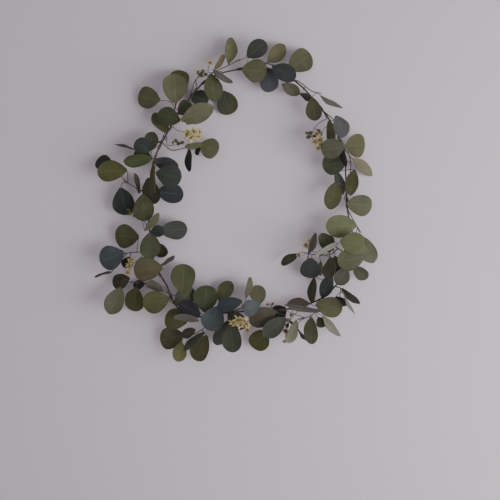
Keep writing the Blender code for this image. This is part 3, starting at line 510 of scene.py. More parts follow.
class Leaf:
    """One leaf blade: its place and form as in the frame, and the finer shape that shows."""

    def __init__(self, row, number):
        base_x, base_z, tip_x, tip_z, width, self.layer, pitch, roll, self.tone = row
        self.base = plan_point(base_x, base_z)
        run = Vector((tip_x - base_x, 0, tip_z - base_z)) * MM
        self.length = run.length / math.cos(math.radians(pitch))
        self.width = width * MM
        self.arch, self.cup = leaf_form(number)
        self.slim = min(1.0, max(0.0, (0.72 - self.width / self.length) / 0.35))
        self.phase = (number * 0.618) % 1.0 * math.tau
        towards_front = forward(1)
        along = run.normalized()
        lean = math.radians(pitch)
        length_axis = along * math.cos(lean) + towards_front * math.sin(lean)
        face_axis = towards_front * math.cos(lean) - along * math.sin(lean)
        face_axis = Matrix.Rotation(math.radians(roll), 3, length_axis) @ face_axis
        width_axis = length_axis.cross(face_axis)
        self.turn = Matrix((width_axis, length_axis, face_axis)).transposed()
        self.shows_under = 90 < roll < 270

    def raised(self, x, t):
        rise = self.cup * (x / (self.width / 2)) ** 2 * self.width / 2
        return Vector((x, t * self.length, rise - self.arch * self.length * t * t))

    def local(self, s, t):
        """A point of the plain blade: s from -1 to 1 across it, t from 0 to 1 along it."""
        return self.raised(s * self.width / 2 * half_width(t, self.slim), t)

    def outline(self, s, t):
        """Half the blade's width at t, never quite even along its edge, and closed at its tip."""
        uneven = 1 + OUTLINE_WAVE * math.sin(7.0 * t + self.phase + (1.9 if s > 0 else 0.0))
        end = min(1.0, (1.0 - t) / 0.02 + 0.25)
        return half_width(t, self.slim) * uneven * end

    def fine_local(self, s, t):
        """A point of the blade that shows, with its midrib pressed in and its edges waved."""
        point = self.raised(s * self.width / 2 * self.outline(s, t), t)
        point.z -= MIDRIB_DEPTH * math.exp(-((s / MIDRIB_SHARE) ** 2)) * (1 - 0.6 * t)
        point.z += EDGE_WAVE * s * s * math.sin(9.0 * t + self.phase + (2.2 if s > 0 else 0.0))
        return point

    def place(self, s, t, depth):
        return self.base + forward(depth) + self.turn @ self.local(s, t)

    def fine_place(self, s, t, depth):
        return self.base + forward(depth) + self.turn @ self.fine_local(s, t)

    def axis(self):
        return self.turn @ Vector((0, 1, 0))

    def face(self):
        return self.turn @ Vector((0, 0, 1))


def plain_sheet(leaf, across, along):
    """The plain blade's points and faces in the leaf's own frame, row by row from its base."""
    columns = across + 1
    points = [
        leaf.local(column / across * 2 - 1, row / along)
        for row in range(along + 1)
        for column in range(columns)
    ]
    faces = [
        (corner, corner + 1, corner + columns + 1, corner + columns)
        for corner in range(along * columns)
        if corner % columns < across
    ]
    return points, faces


# ---- Room for every leaf, as in the frame ----


class Room:
    """What is already on the wreath: leaf blades as sheets, and wires as rows of points."""

    def __init__(self):
        self.blades = []
        self.wires = []

    def add_wire(self, line, radius, owner):
        self.wires.append((resampled(line, WIRE_SPACING), radius, owner))

    def meets_a_blade(self, points, need):
        """Whether any of the points comes nearer than it needs to a blade already on the wreath."""
        low, high = bounds(points)
        return any(
            not apart(low, high, other, need) and any(tree.find_nearest(p, need)[0] for p in points)
            for other, tree in self.blades
        )

    def wire_is_clear(self, line, radius, owner):
        points = resampled(line, WIRE_SPACING)
        low, high = bounds(points)
        for other, other_radius, other_owner in self.wires:
            need = radius + other_radius + WIRE_CLEARANCE
            if other_owner == owner or apart(low, high, other, need):
                continue
            if any((p - q).length < need for p in points for q in other):
                return False
        return not self.meets_a_blade(points, radius + LEAF_CLEARANCE)

    def blade_is_clear(self, points, tree):
        if self.meets_a_blade(points, LEAF_CLEARANCE):
            return False
        low, high = bounds(points)
        for other, radius, _ in self.wires:
            need = radius + LEAF_CLEARANCE
            if apart(low, high, other, need):
                continue
            if any(tree.find_nearest(p, need)[0] for p in other):
                return False
        return True


def bounds(points):
    low = Vector([min(p[k] for p in points) for k in range(3)])
    high = Vector([max(p[k] for p in points) for k in range(3)])
    return low, high


def apart(low, high, others, gap):
    other_low, other_high = bounds(others)
    return any(low[k] > other_high[k] + gap or high[k] < other_low[k] - gap for k in range(3))


def stem_places(stems, base, count):
    """Where a petiole may leave the sprig's stems, as (point, direction of the stem), the nearest first."""
    places = [
        (line[k], (line[k + 1] - line[k - 1]).normalized())
        for number, line in enumerate(stems)
        for k in range(1 if number else FIRST_FREE_POINT, len(line) - 1)
    ]
    return sorted(places, key=lambda found: (found[0] - base).length)[:count]


def petiole_line(leaf, depth, start, along_stem, bow):
    """From a point of the stem, curving into the leaf's base along its midrib, and bowed by some millimetres
    towards the front and to one side."""
    base = leaf.place(0, 0, depth)
    reach = (base - start).length * 0.4
    middle = (start + base) * 0.5 + (along_stem - leaf.axis()) * reach * 0.375
    towards_front = forward(1)
    aside = (base - start).cross(towards_front).normalized()
    return [start, middle + (towards_front * bow[0] + aside * bow[1]) * MM, base]


def clear_petiole(leaf, depth, room, stems, owner, step):
    """The first petiole route that clears what is on the wreath, or None. Each step looks further round."""
    starts = PETIOLE_STARTS + step // 2
    wider = 1 + step / 20
    for start, along_stem in stem_places(stems, leaf.place(0, 0, depth), starts):
        for bow in PETIOLE_BOWS:
            petiole = petiole_line(leaf, depth, start, along_stem, [wider * part for part in bow])
            if room.wire_is_clear(petiole, PETIOLE_WIRE / 2, owner):
                return petiole
    return None


def settled_leaf(leaf, room, stems, owner):
    """The depth at which the leaf and its petiole clear everything placed before, and its petiole."""
    local, faces = plain_sheet(leaf, *CLEARANCE_GRID)
    petiole = None
    for step in range(MOST_STEPS):
        depth = LAYER_DEPTH[leaf.layer] + step * DEPTH_STEP
        base = leaf.base + forward(depth)
        points = [base + leaf.turn @ p for p in local]
        tree = BVHTree.FromPolygons(points, faces)
        if room.blade_is_clear(points, tree):
            petiole = clear_petiole(leaf, depth, room, stems, owner, step)
        if petiole:
            break
    room.blades.append((points, tree))
    room.add_wire(petiole, PETIOLE_WIRE / 2, owner)
    return depth, petiole


def settled_lift(start, routes, room, owner):
    """The first lift at which the stems clear what is on the wreath, apart from their bound ends."""
    for step in range(MOST_STEPS):
        lines = lifted_stems(start, routes, step * DEPTH_STEP)
        free = [lines[0][FIRST_FREE_POINT:]] + [line[1:] for line in lines[1:]]
        if all(room.wire_is_clear(line, STEM_WIRE / 2, owner) for line in free):
            break
    for line in lines:
        room.add_wire(line, STEM_WIRE / 2, owner)
    return lines, step * DEPTH_STEP


def add_hoop_and_hanger(room):
    count = len(HOOP_PLAN) * HOOP_STRETCHES
    line = [hoop_point(k / HOOP_STRETCHES) for k in range(count)]
    room.add_wire(line + line[:1], HOOP_WIRE / 2, "hoop")
    first, last = hoop_stretch(HANGER_STRETCH / HOOP_STRETCHES)
    centre = (first + last) / 2
    half = (last - first).normalized() * 0.002
    room.add_wire([centre - half, centre + half], HANGER_EYE + HANGER_WIRE / 2, "hanger")
    edge = HANGER_HOOK_EYE + HANGER_WIRE
    for across in (-edge, 0, edge):
        for angle in range(0, HANGER_SWING + 1, 15):
            lean = math.radians(angle)
            reach = Vector((0, math.sin(lean), math.cos(lean))) * HANGER_SWING_ROOM
            side = Vector((across, 0, 0))
            room.add_wire([centre + side, centre + side + reach], HANGER_WIRE / 2, "hanger")


def add_binding(name, start, room):
    first, last = hoop_stretch(start)
    middle = (first + last) / 2
    half = (last - first).normalized() * BINDING_LENGTH / 2
    inner = BINDING_BORE / math.cos(math.pi / 8)
    for depth in (0.0, STEM_IN_FRONT):
        ends = [middle - half + forward(depth), middle + half + forward(depth)]
        room.add_wire(ends, inner + BINDING_WALL, name)


def add_spray(name, row, room):
    start, side, route, heads = row
    line = spray_line(start, side, route)
    room.add_wire(line, SPRAY_WIRE / 2, name)
    for x, z, depth, size in heads:
        centre = plan_point(x, z, depth * MM)
        near = min(line, key=lambda p: (p - centre).length)
        if (centre - near).length > SHORTEST_STALK:
            room.add_wire([near, centre], size * MM / 2, name)


def settled_wreath():
    """Every sprig's lift, coarse stems and settled leaves, found in the same order as in the frame."""
    room = Room()
    add_hoop_and_hanger(room)
    for name, (start, _, _) in SPRIGS.items():
        add_binding(name.replace("sprig", "binding"), start, room)
    settled = {}
    for name, (start, routes, _) in SPRIGS.items():
        lines, lift = settled_lift(start, routes, room, name)
        settled[name] = {"lines": lines, "lift": lift, "leaves": []}
    for name, row in {**SEED_SPRAYS, **FLOWER_PICKS}.items():
        add_spray(name, row, room)
    leaves = []
    for name, (_, _, rows) in SPRIGS.items():
        leaves += [(Leaf(row, len(leaves) + k), name) for k, row in enumerate(rows)]
    for leaf, name in sorted(leaves, key=lambda found: found[0].layer):
        depth, petiole = settled_leaf(leaf, room, settled[name]["lines"], name)
        settled[name]["leaves"].append((leaf, depth, petiole))
    return settled


# ---- Materials ----


def linear(tone, gain=1.0):
    """A tone written as six hex digits, as a linear colour."""
    shares = [int(tone[k : k + 2], 16) / 255 for k in (0, 2, 4)]
    return [gain * (c / 12.92 if c <= 0.04045 else ((c + 0.055) / 1.055) ** 2.4) for c in shares] + [1.0]


class Shader:
    """A material's node tree, with short calls for the nodes that this wreath's materials share."""

    def __init__(self, name, roughness, sheen=0.0, metallic=0.0):
        self.material = bpy.data.materials.new(name)
        self.material.use_nodes = True
        self.tree = self.material.node_tree
        self.surface = self.tree.nodes["Principled BSDF"]
        self.surface.inputs["Roughness"].default_value = roughness
        self.surface.inputs["Sheen Weight"].default_value = sheen
        self.surface.inputs["Metallic"].default_value = metallic

    def put(self, socket, value):
        if isinstance(value, bpy.types.NodeSocket):
            self.tree.links.new(value, socket)
        else:
            socket.default_value = value

    def node(self, kind, output, inputs, **settings):
        made = self.tree.nodes.new(kind)
        for key, value in settings.items():
            setattr(made, key, value)
        for key, value in inputs.items():
            self.put(made.inputs[key], value)
        return made.outputs[output]

    def maths(self, operation, first, second=0.0, third=0.0):
        return self.node("ShaderNodeMath", 0, {0: first, 1: second, 2: third}, operation=operation)

    def place(self):
        return self.node("ShaderNodeTexCoord", "Object", {})

    def sheet_place(self):
        """The sheet's own coordinates: across from 0 to 1, and along from 0 to 1."""
        uv = self.node("ShaderNodeUVMap", 0, {}, uv_map="UVMap")
        parts = self.tree.nodes.new("ShaderNodeSeparateXYZ")
        self.put(parts.inputs[0], uv)
        return parts.outputs[0], parts.outputs[1]

    def noise(self, place, scale, detail=3.0, roughness=0.55):
        inputs = {"Vector": place, "Scale": scale, "Detail": detail, "Roughness": roughness}
        return self.node("ShaderNodeTexNoise", 0, inputs)

    def spread(self, value, low, high, to_low, to_high):
        inputs = {0: value, 1: low, 2: high, 3: to_low, 4: to_high}
        return self.node("ShaderNodeMapRange", 0, inputs)

    def mix(self, share, first, second, blend="MIX"):
        made = self.tree.nodes.new("ShaderNodeMix")
        made.data_type = "RGBA"
        made.blend_type = blend
        for socket, value in zip((made.inputs[0], made.inputs[6], made.inputs[7]), (share, first, second)):
            self.put(socket, value)
        return made.outputs[2]

    def bright(self, colour, factor):
        """The colour times a grey factor."""
        grey = self.node("ShaderNodeCombineColor", 0, {0: factor, 1: factor, 2: factor})
        return self.mix(1.0, colour, grey, "MULTIPLY")

    def varied(self, colour, source, low, high):
        """The colour, darker and lighter with the source."""
        return self.bright(colour, self.spread(source, 0.3, 0.7, low, high))

    def colour(self, value):
        self.put(self.surface.inputs["Base Color"], value)

    def roughness(self, value):
        self.put(self.surface.inputs["Roughness"], value)

    def bump(self, height, distance, strength=1.0):
        inputs = {"Height": height, "Distance": distance, "Strength": strength}
        self.put(self.surface.inputs["Normal"], self.node("ShaderNodeBump", 0, inputs))


def leaf_material(name, under):
    """Leaf cloth: a paler midrib and side veins, mottled tone with warmer patches, and a browned edge."""
    shader = Shader(name, 0.70, sheen=LEAF_SHEEN)
    shader.put(shader.surface.inputs["Specular IOR Level"], 0.3)
    tone = shader.node("ShaderNodeAttribute", "Color", {}, attribute_name="leaf_tone")
    place = shader.place()
    across, along = shader.sheet_place()
    aside = shader.maths("ABSOLUTE", shader.maths("MULTIPLY_ADD", across, 2.0, -1.0))
    rib_width = shader.spread(along, 0.0, 1.0, 0.075, 0.015)
    midrib = shader.spread(shader.maths("DIVIDE", aside, rib_width), 0.4, 1.2, 1.0, 0.0)
    drift = shader.noise(place, 70.0)
    slanted = shader.maths("MULTIPLY_ADD", aside, -0.42, shader.maths("MULTIPLY_ADD", drift, 0.05, along))
    between = shader.maths("PINGPONG", shader.maths("MULTIPLY", slanted, 8.0), 0.5)
    vein = shader.spread(between, 0.01, 0.09, 1.0, 0.0)
    vein = shader.maths("MULTIPLY", vein, shader.spread(aside, 0.55, 0.98, 1.0, 0.0))
    mottle = shader.noise(place, 48.0, 4.0, 0.6)
    patch = shader.noise(place, 22.0, 2.0)
    speckle = shader.noise(place, 620.0, 2.0)
    if under:
        tone = shader.mix(0.30, tone, UNDER_TONE)
    body = shader.varied(tone, mottle, 0.82, 1.18)
    warm = shader.mix(1.0, body, WARM_TINT, "MULTIPLY")
    body = shader.mix(shader.spread(patch, 0.42, 0.64, 0.0, 0.8), body, warm)
    body = shader.bright(body, shader.spread(speckle, 0.35, 0.65, 0.93, 1.07))
    body = shader.mix(shader.spread(mottle, 0.56, 0.74, 0.0, 0.12), body, BLOOM_TONE)
    rib_height = shader.maths("MULTIPLY", midrib, 0.26)
    vein_height = shader.maths("MULTIPLY", vein, 0.11)
    raised = shader.maths("MAXIMUM", rib_height, vein_height)
    body = shader.mix(shader.maths("MULTIPLY", raised, 0.7), body, RIB_TONE)
    body = shader.bright(body, shader.maths("MULTIPLY_ADD", raised, 0.8, 1.0))
    body = shader.mix(shader.spread(aside, 0.84, 1.0, 0.0, 0.40), body, EDGE_TONE)
    shader.colour(body)
    shader.roughness(shader.spread(mottle, 0.3, 0.7, 0.62, 0.80))
    lines = shader.maths("ADD", shader.maths("MULTIPLY", vein, 0.5 if under else -0.5), midrib)
    shader.bump(shader.maths("MULTIPLY_ADD", speckle, 0.35, lines), 0.0003, 0.7)
    return shader.material


def bark_material(name, tone, pale, scale):
    """Brown wrapped wire: long dark and pale streaks with fine grain."""
    shader = Shader(name, 0.72)
    place = shader.place()
    streak = shader.noise(place, scale, 4.0, 0.65)
    patch = shader.noise(place, scale / 6, 2.0)
    body = shader.mix(shader.spread(streak, 0.42, 0.68, 0.0, 1.0), linear(tone), linear(pale))
    body = shader.varied(body, patch, 0.75, 1.2)
    shader.colour(body)
    shader.roughness(shader.spread(streak, 0.3, 0.7, 0.62, 0.82))
    shader.bump(streak, 0.0003)
    return shader.material


def wrap_material(name, tone, pale, turns):
    """Paper tape wound in a slant round a wire: each turn laps the one before, and the strip just under each
    lapping edge carries painted shade.
    """
    shader = Shader(name, 0.80)
    place = shader.place()
    along, around = shader.sheet_place()
    turn = shader.maths("FRACT", shader.maths("MULTIPLY_ADD", along, turns, around))
    fibre = shader.noise(place, 900.0, 3.0, 0.6)
    patch = shader.noise(place, 55.0, 2.0)
    body = shader.mix(shader.spread(fibre, 0.35, 0.7, 0.0, 1.0), linear(tone), linear(pale))
    body = shader.varied(body, patch, 0.78, 1.2)
    # Painted shade: the start of each turn is darkened where it lies in the crease under the edge of the turn
    # before.
    body = shader.bright(body, shader.spread(turn, 0.0, 0.14, 0.55, 1.0))
    shader.colour(body)
    shader.roughness(shader.spread(fibre, 0.3, 0.7, 0.72, 0.88))
    shader.bump(shader.maths("MULTIPLY_ADD", fibre, 0.25, turn), 0.0004)
    return shader.material


def steel_material():
    """Drawn steel wire: fine bright and dull streaks."""
    shader = Shader("drawn_steel", 0.36, metallic=1.0)
    place = shader.place()
    streak = shader.noise(place, 1500.0, 2.0)
    shader.colour(shader.mix(streak, linear("86837c"), linear("b5b2aa")))
    shader.roughness(shader.spread(streak, 0.3, 0.7, 0.28, 0.46))
    shader.bump(streak, 0.00005)
    return shader.material


def seed_material():
    """Waxy seed cases: olive with brown tips and a dull bloom."""
    shader = Shader("seed_case", 0.58)
    place = shader.place()
    patch = shader.noise(place, 180.0, 3.0)
    fine = shader.noise(place, 1200.0, 2.0)
    body = shader.mix(shader.spread(patch, 0.38, 0.64, 0.0, 1.0), linear(SEED_DARK), linear(SEED_PALE))
    shader.colour(shader.varied(body, fine, 0.85, 1.15))
    shader.roughness(shader.spread(patch, 0.3, 0.7, 0.45, 0.7))
    shader.bump(fine, 0.0002)
    return shader.material


def petal_material(name, tone, heart):
    """Dried cream petals: paler at the tips, tan at the heart, with fine lines along them."""
    shader = Shader(name, 0.78, sheen=0.2)
    place = shader.place()
    across, along = shader.sheet_place()
    lines = shader.noise(place, 900.0, 3.0)
    patch = shader.noise(place, 120.0, 2.0)
    body = shader.mix(shader.spread(along, 0.0, 0.55, 1.0, 0.0), linear(tone), linear(heart))
    body = shader.varied(body, patch, 0.84, 1.12)
    shader.colour(shader.varied(body, lines, 0.9, 1.08))
    shader.bump(shader.maths("ADD", lines, shader.maths("ABSOLUTE", across)), 0.0002)
    return shader.material


# ---- Tools for making pieces ----


def only(*objects):
    """Selects these objects alone, the first one active."""
    bpy.ops.object.select_all(action="DESELECT")
    for obj in objects:
        obj.select_set(True)
    bpy.context.view_layer.objects.active = objects[0]


def apply_modifier(obj, name, kind, **settings):
    only(obj)
    modifier = obj.modifiers.new(name, kind)
    for key, value in settings.items():
        setattr(modifier, key, value)
    bpy.ops.object.modifier_apply(modifier=modifier.name)


def edit_all(obj, *steps):
    """Runs edit-mode steps on the whole mesh."""
    only(obj)
    bpy.ops.object.mode_set(mode="EDIT")
    bpy.ops.mesh.select_all(action="SELECT")
    for step in steps:
        step()
    bpy.ops.object.mode_set(mode="OBJECT")


def welded(obj):
    edit_all(
        obj,
        lambda: bpy.ops.mesh.remove_doubles(threshold=1e-6),
        lambda: bpy.ops.mesh.normals_make_consistent(inside=False),
    )


def edit_where(obj, chosen, step):
    """Runs one edit-mode step on the vertices that a test on their place picks."""
    only(obj)
    bpy.ops.object.mode_set(mode="EDIT")
    bpy.ops.mesh.select_mode(type="VERT")
    bpy.ops.mesh.select_all(action="DESELECT")
    bpy.ops.object.mode_set(mode="OBJECT")
    for vert in obj.data.vertices:
        vert.select = chosen(vert.co)
    bpy.ops.object.mode_set(mode="EDIT")
    step()
    bpy.ops.object.mode_set(mode="OBJECT")


def joined(name, objects):
    only(*objects)
    if len(objects) > 1:
        bpy.ops.object.join()
    whole = bpy.context.view_layer.objects.active
    whole.name = name
    whole.data.name = name
    return whole


def linked(obj):
    bpy.context.scene.collection.objects.link(obj)
    return obj


def added(add, **settings):
    """The primitive that a call adds, with its place and turn applied."""
    add(**settings)
    bpy.ops.object.transform_apply(location=True, rotation=True, scale=True)
    return bpy.context.object


def copied(obj, name):
    """A copy with its own mesh."""
    copy = obj.copy()
    copy.data = obj.data.copy()
    copy.name = name
    return linked(copy)


def painted(obj, *materials):
    obj.data.materials.clear()
    for material in materials:
        obj.data.materials.append(material)
    return obj


def smoothed(obj, degrees=50):
    only(obj)
    bpy.ops.object.shade_smooth_by_angle(angle=math.radians(degrees))
    return obj


def placed(obj, slot, *nodes):
    """The finished piece rides on the wreath and stands for these nodes."""
    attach(obj, "wreath")
    if nodes:
        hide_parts(*nodes)


def facing(direction, centre, size=1.0):
    """The matrix that stands a unit piece on a centre with its +Z along the direction."""
    turn = direction.to_track_quat("Z", "Y").to_matrix().to_4x4()
    return Matrix.Translation(centre) @ turn @ Matrix.Scale(size, 4)


def wires(name, routes, resolution=2):
    """Round tapering wires, one for each (line, radii), as one closed mesh."""
    curve = bpy.data.curves.new(name, "CURVE")
    curve.dimensions = "3D"
    curve.bevel_depth = 1.0
    curve.bevel_resolution = resolution
    curve.use_fill_caps = True
    for line, radii in routes:
        spline = curve.splines.new("POLY")
        spline.points.add(len(line) - 1)
        for point, place, radius in zip(spline.points, line, radii):
            point.co = (*place, 1.0)
            point.radius = radius
    only(linked(bpy.data.objects.new(name, curve)))
    bpy.ops.object.convert(target="MESH")
    obj = bpy.context.view_layer.objects.active
    welded(obj)
    return obj


def taper(count, start, end):
    return [start + (end - start) * k / (count - 1) for k in range(count)]


# ---- Leaves and stems ----


def leaf_blank():
    """A flat unit sheet with rows closer together at its ends. Every blade is shaped from a copy."""
    bpy.ops.mesh.primitive_grid_add(x_subdivisions=LEAF_ACROSS, y_subdivisions=LEAF_ALONG, size=2)
    blank = bpy.context.object
    for vert in blank.data.vertices:
        vert.co.y = math.sin(vert.co.y * math.pi / 2)
        vert.co.x = math.copysign(abs(vert.co.x) ** 0.9, vert.co.x)
    return blank


def blade(name, blank, leaf, depth):
    sheet = copied(blank, name)
    for vert in sheet.data.vertices:
        vert.co = leaf.fine_place(vert.co.x, (vert.co.y + 1) / 2, depth)
    tones = sheet.data.color_attributes.new("leaf_tone", "FLOAT_COLOR", "POINT")
    gain = TONE_GAIN * (UNDER_GAIN if leaf.shows_under else 1.0)
    tones.data.foreach_set("color", linear(leaf.tone, gain) * len(sheet.data.vertices))
    return sheet


def make_leaves(number, settled, blank, top, under):
    name = f"leaves_{number:02d}"
    sheets = [
        blade(f"{name}_{count}", blank, leaf, depth)
        for count, (leaf, depth, _) in enumerate(settled["leaves"])
    ]
    leaves = painted(joined(name, sheets), top, under)
    settings = {"thickness": LEAF_THICKNESS, "offset": 0.0, "material_offset": 1}
    apply_modifier(leaves, "Thickness", "SOLIDIFY", **settings)
    return smoothed(leaves, SHARP_CORNER)


def make_stems(number, start, routes, settled, bark):
    """The stem and its branches, and every leaf's stalk running on under the blade as its midrib."""
    parts = []
    for line in lifted_stems(start, routes, settled["lift"], STEM_SPANS):
        parts.append((line, taper(len(line), STEM_WIRE / 2, STEM_WIRE * 0.36)))
    for leaf, depth, petiole in settled["leaves"]:
        stalk = smooth_line(petiole, STEM_SPANS)
        under = [
            leaf.fine_place(0, t, depth) - leaf.face() * (LEAF_THICKNESS / 2 + (1 - t) * 0.0002)
            for t in MIDRIB_STOPS
        ]
        radii = [PETIOLE_WIRE * 0.62] + taper(len(stalk) - 1, PETIOLE_WIRE * 0.46, PETIOLE_WIRE * 0.38)
        parts.append((stalk + under, radii + taper(len(under), PETIOLE_WIRE * 0.34, PETIOLE_WIRE * 0.10)))
    stems = wires(f"stems_{number:02d}", parts, 1)
    return smoothed(painted(stems, bark))


# ---- Hoop, tape and hanger ----


def make_hoop(wrap):
    """A torus bent to the hoop's route, its wire a little uneven under the tape."""
    bpy.ops.mesh.primitive_torus_add(
        major_segments=HOOP_ALONG,
        minor_segments=HOOP_AROUND,
        major_radius=1.0,
        minor_radius=TORUS_WIRE,
    )
    hoop = bpy.context.object
    stretches = len(HOOP_PLAN) * HOOP_STRETCHES
    for vert in hoop.data.vertices:
        share = (-math.atan2(vert.co.y, vert.co.x) / math.tau) % 1.0
        along = share * stretches
        first = math.floor(along + 1e-6)
        near_end = hoop_point(first / HOOP_STRETCHES)
        far_end = hoop_point((first + 1) / HOOP_STRETCHES)
        middle = near_end.lerp(far_end, along - first)
        aside = Vector((vert.co.x, vert.co.y)).length - 1.0
        uneven = 1 + 0.05 * math.sin(along * 2.1) + 0.03 * math.sin(along * 5.3 + 1.0)
        section = outward(near_end, far_end) * aside + forward(vert.co.z)
        vert.co = middle + section / TORUS_WIRE * HOOP_WIRE / 2 * uneven
    hoop.name = "hoop_wrapped"
    edit_all(hoop, lambda: bpy.ops.mesh.normals_make_consistent(inside=False))
    return smoothed(painted(hoop, wrap))


def tape_blank():
    """A tape sleeve standing on Z: overlapping turns round two wires, open at both ends."""
    step = BINDING_LENGTH / TAPE_TURNS / 2
    tape = added(
        bpy.ops.mesh.primitive_cylinder_add,
        vertices=TAPE_SIDES,
        radius=BINDING_BORE,
        depth=step,
        end_fill_type="NOTHING",
        location=(0, 0, -BINDING_LENGTH / 2 + step / 2),
        rotation=(0, 0, math.pi / TAPE_SIDES),
    )
    for turn in range(TAPE_TURNS * 2 - 1):
        top = max(vert.co.z for vert in tape.data.vertices)
        grow = TAPE_LAP if turn % 2 else 1 / TAPE_LAP
        edit_where(
            tape,
            lambda place, top=top: abs(place.z - top) < 1e-6,
            lambda grow=grow: (
                bpy.ops.mesh.extrude_region_move(TRANSFORM_OT_translate={"value": (0, 0, step)}),
                bpy.ops.transform.resize(value=(grow, grow, 1)),
            ),
        )
    for vert in tape.data.vertices:
        vert.co.x += math.copysign(STEM_IN_FRONT / 2, vert.co.x)
        vert.co.z += TAPE_SLANT * math.sin(math.atan2(vert.co.y, vert.co.x))
    apply_modifier(tape, "Wall", "SOLIDIFY", thickness=BINDING_WALL * 0.6, offset=1.0)
    return tape


def make_tape(number, start, blank, material):
    first, last = hoop_stretch(start)
    along = (last - first).normalized()
    across = forward(1)
    turn = Matrix((across, along.cross(across), along)).transposed().to_4x4()
    tape = copied(blank, f"tape_{number:02d}")
    tape.data.transform(Matrix.Translation((first + last) / 2 + across * STEM_IN_FRONT / 2) @ turn)
    return smoothed(painted(tape, material), TAPE_CORNER)


def make_hanger(steel):
    """Two wires twisted into a neck between an eye round the hoop and an eye for the hook."""
    first, last = hoop_stretch(HANGER_STRETCH / HOOP_STRETCHES)
    centre = (first + last) / 2
    slope = math.atan2(last.z - first.z, last.x - first.x)
    eyes = []
    for place, radius, turn in (
        (centre, HANGER_EYE, (0, math.pi / 2 - slope, 0)),
        (Vector((0, 0, -HANGER_HOOK_EYE)), HANGER_HOOK_EYE + HANGER_WIRE / 2, (math.pi / 2, 0, 0)),
    ):
        eye = added(
            bpy.ops.mesh.primitive_torus_add,
            major_segments=EYE_SIDES,
            minor_segments=HOOP_AROUND,
            major_radius=radius,
            minor_radius=HANGER_WIRE / 2,
            location=place,
            rotation=turn,
        )
        eyes.append(eye)
    low = centre.z + HANGER_EYE
    high = -2 * HANGER_HOOK_EYE - HANGER_WIRE / 2
    strands = []
    for side in (0, math.pi):
        line = []
        for k in range(NECK_STEPS + 1):
            angle = side + k / NECK_STEPS * math.tau * NECK_TURNS
            ring = Vector((math.cos(angle), math.sin(angle), 0)) * STRAND_RADIUS
            line.append(ring + Vector((0, 0, low + (high - low) * k / NECK_STEPS)))
        strands.append((line, [STRAND_RADIUS] * len(line)))
    neck = wires("hanger_neck", strands)
    return smoothed(painted(joined("hanger_loop", [neck] + eyes), steel))


# ---- Seeds and flowers ----


def seed_blank():
    """A seed case of unit size on +Z: a round cup, a rim and a short pointed cap."""
    bpy.ops.mesh.primitive_uv_sphere_add(segments=8, ring_count=7, radius=0.5)
    seed = bpy.context.object
    edit_where(seed, lambda place: place.z > 0.40, lambda: bpy.ops.transform.translate(value=(0, 0, 0.16)))
    edit_where(
        seed, lambda place: 0.16 < place.z < 0.40, lambda: bpy.ops.transform.resize(value=(1.14, 1.14, 0.8))
    )
    edit_where(seed, lambda place: place.z < -0.40, lambda: bpy.ops.transform.translate(value=(0, 0, -0.14)))
    return seed


def petal(name, lean, turn, length, width):
    """One petal from the heart outwards, leaning up from the flower's plane by the angle and cupped."""
    bpy.ops.mesh.primitive_grid_add(x_subdivisions=2, y_subdivisions=4, size=2)
    sheet = bpy.context.object
    sheet.name = name
    for vert in sheet.data.vertices:
        s, t = vert.co.x, (vert.co.y + 1) / 2
        across = s * width / 2 * (0.35 + 0.65 * math.sin(math.pi * min(1.0, t * 0.86 + 0.04)))
        up = length * t * math.sin(lean * (1 - 0.35 * t)) + 0.10 * s * s * width
        out = length * t * math.cos(lean * (1 - 0.35 * t))
        vert.co = Matrix.Rotation(turn, 3, "Z") @ Vector((across, out, up))
    return sheet


def flower_blank(petal_stuff, heart_stuff, case_stuff):
    """A ragged blossom of unit width on +Z: rings of narrow petals, a tuft of stamens and a green cup."""
    petals = []
    for ring, (count, lean, length, width) in enumerate(BLOSSOM_RINGS):
        for k in range(count):
            turn = math.tau * (k + ring * 0.4) / count + 0.30 * math.sin(k * 2.4 + ring)
            size = length * (1 + 0.20 * math.sin(k * 3.7 + ring))
            tilt = lean + 0.22 * math.sin(k * 5.1 + ring)
            petals.append(petal(f"petal_{ring}_{k}", tilt, turn, size, width))
    crown = painted(joined("crown", petals), petal_stuff)
    apply_modifier(crown, "Thickness", "SOLIDIFY", thickness=0.016, offset=0.0)
    stamens = []
    for k in range(STAMENS):
        angle = k * 2.4
        reach = 0.05 + 0.020 * k
        foot = Vector((math.cos(angle), math.sin(angle), 0)) * reach * 0.4
        tip = Vector((math.cos(angle) * reach, math.sin(angle) * reach, 0.42 - 0.5 * reach))
        stamens.append(([foot, foot.lerp(tip, 0.6), tip], [0.014, 0.011, 0.024]))
    tuft = painted(wires("tuft", stamens, 0), heart_stuff)
    cone = {"vertices": 8, "radius1": 0.05, "radius2": 0.20, "depth": 0.22, "location": (0, 0, -0.08)}
    cup = painted(added(bpy.ops.mesh.primitive_cone_add, **cone), case_stuff)
    return smoothed(joined("blossom", [crown, tuft, cup]), SHARP_CORNER)


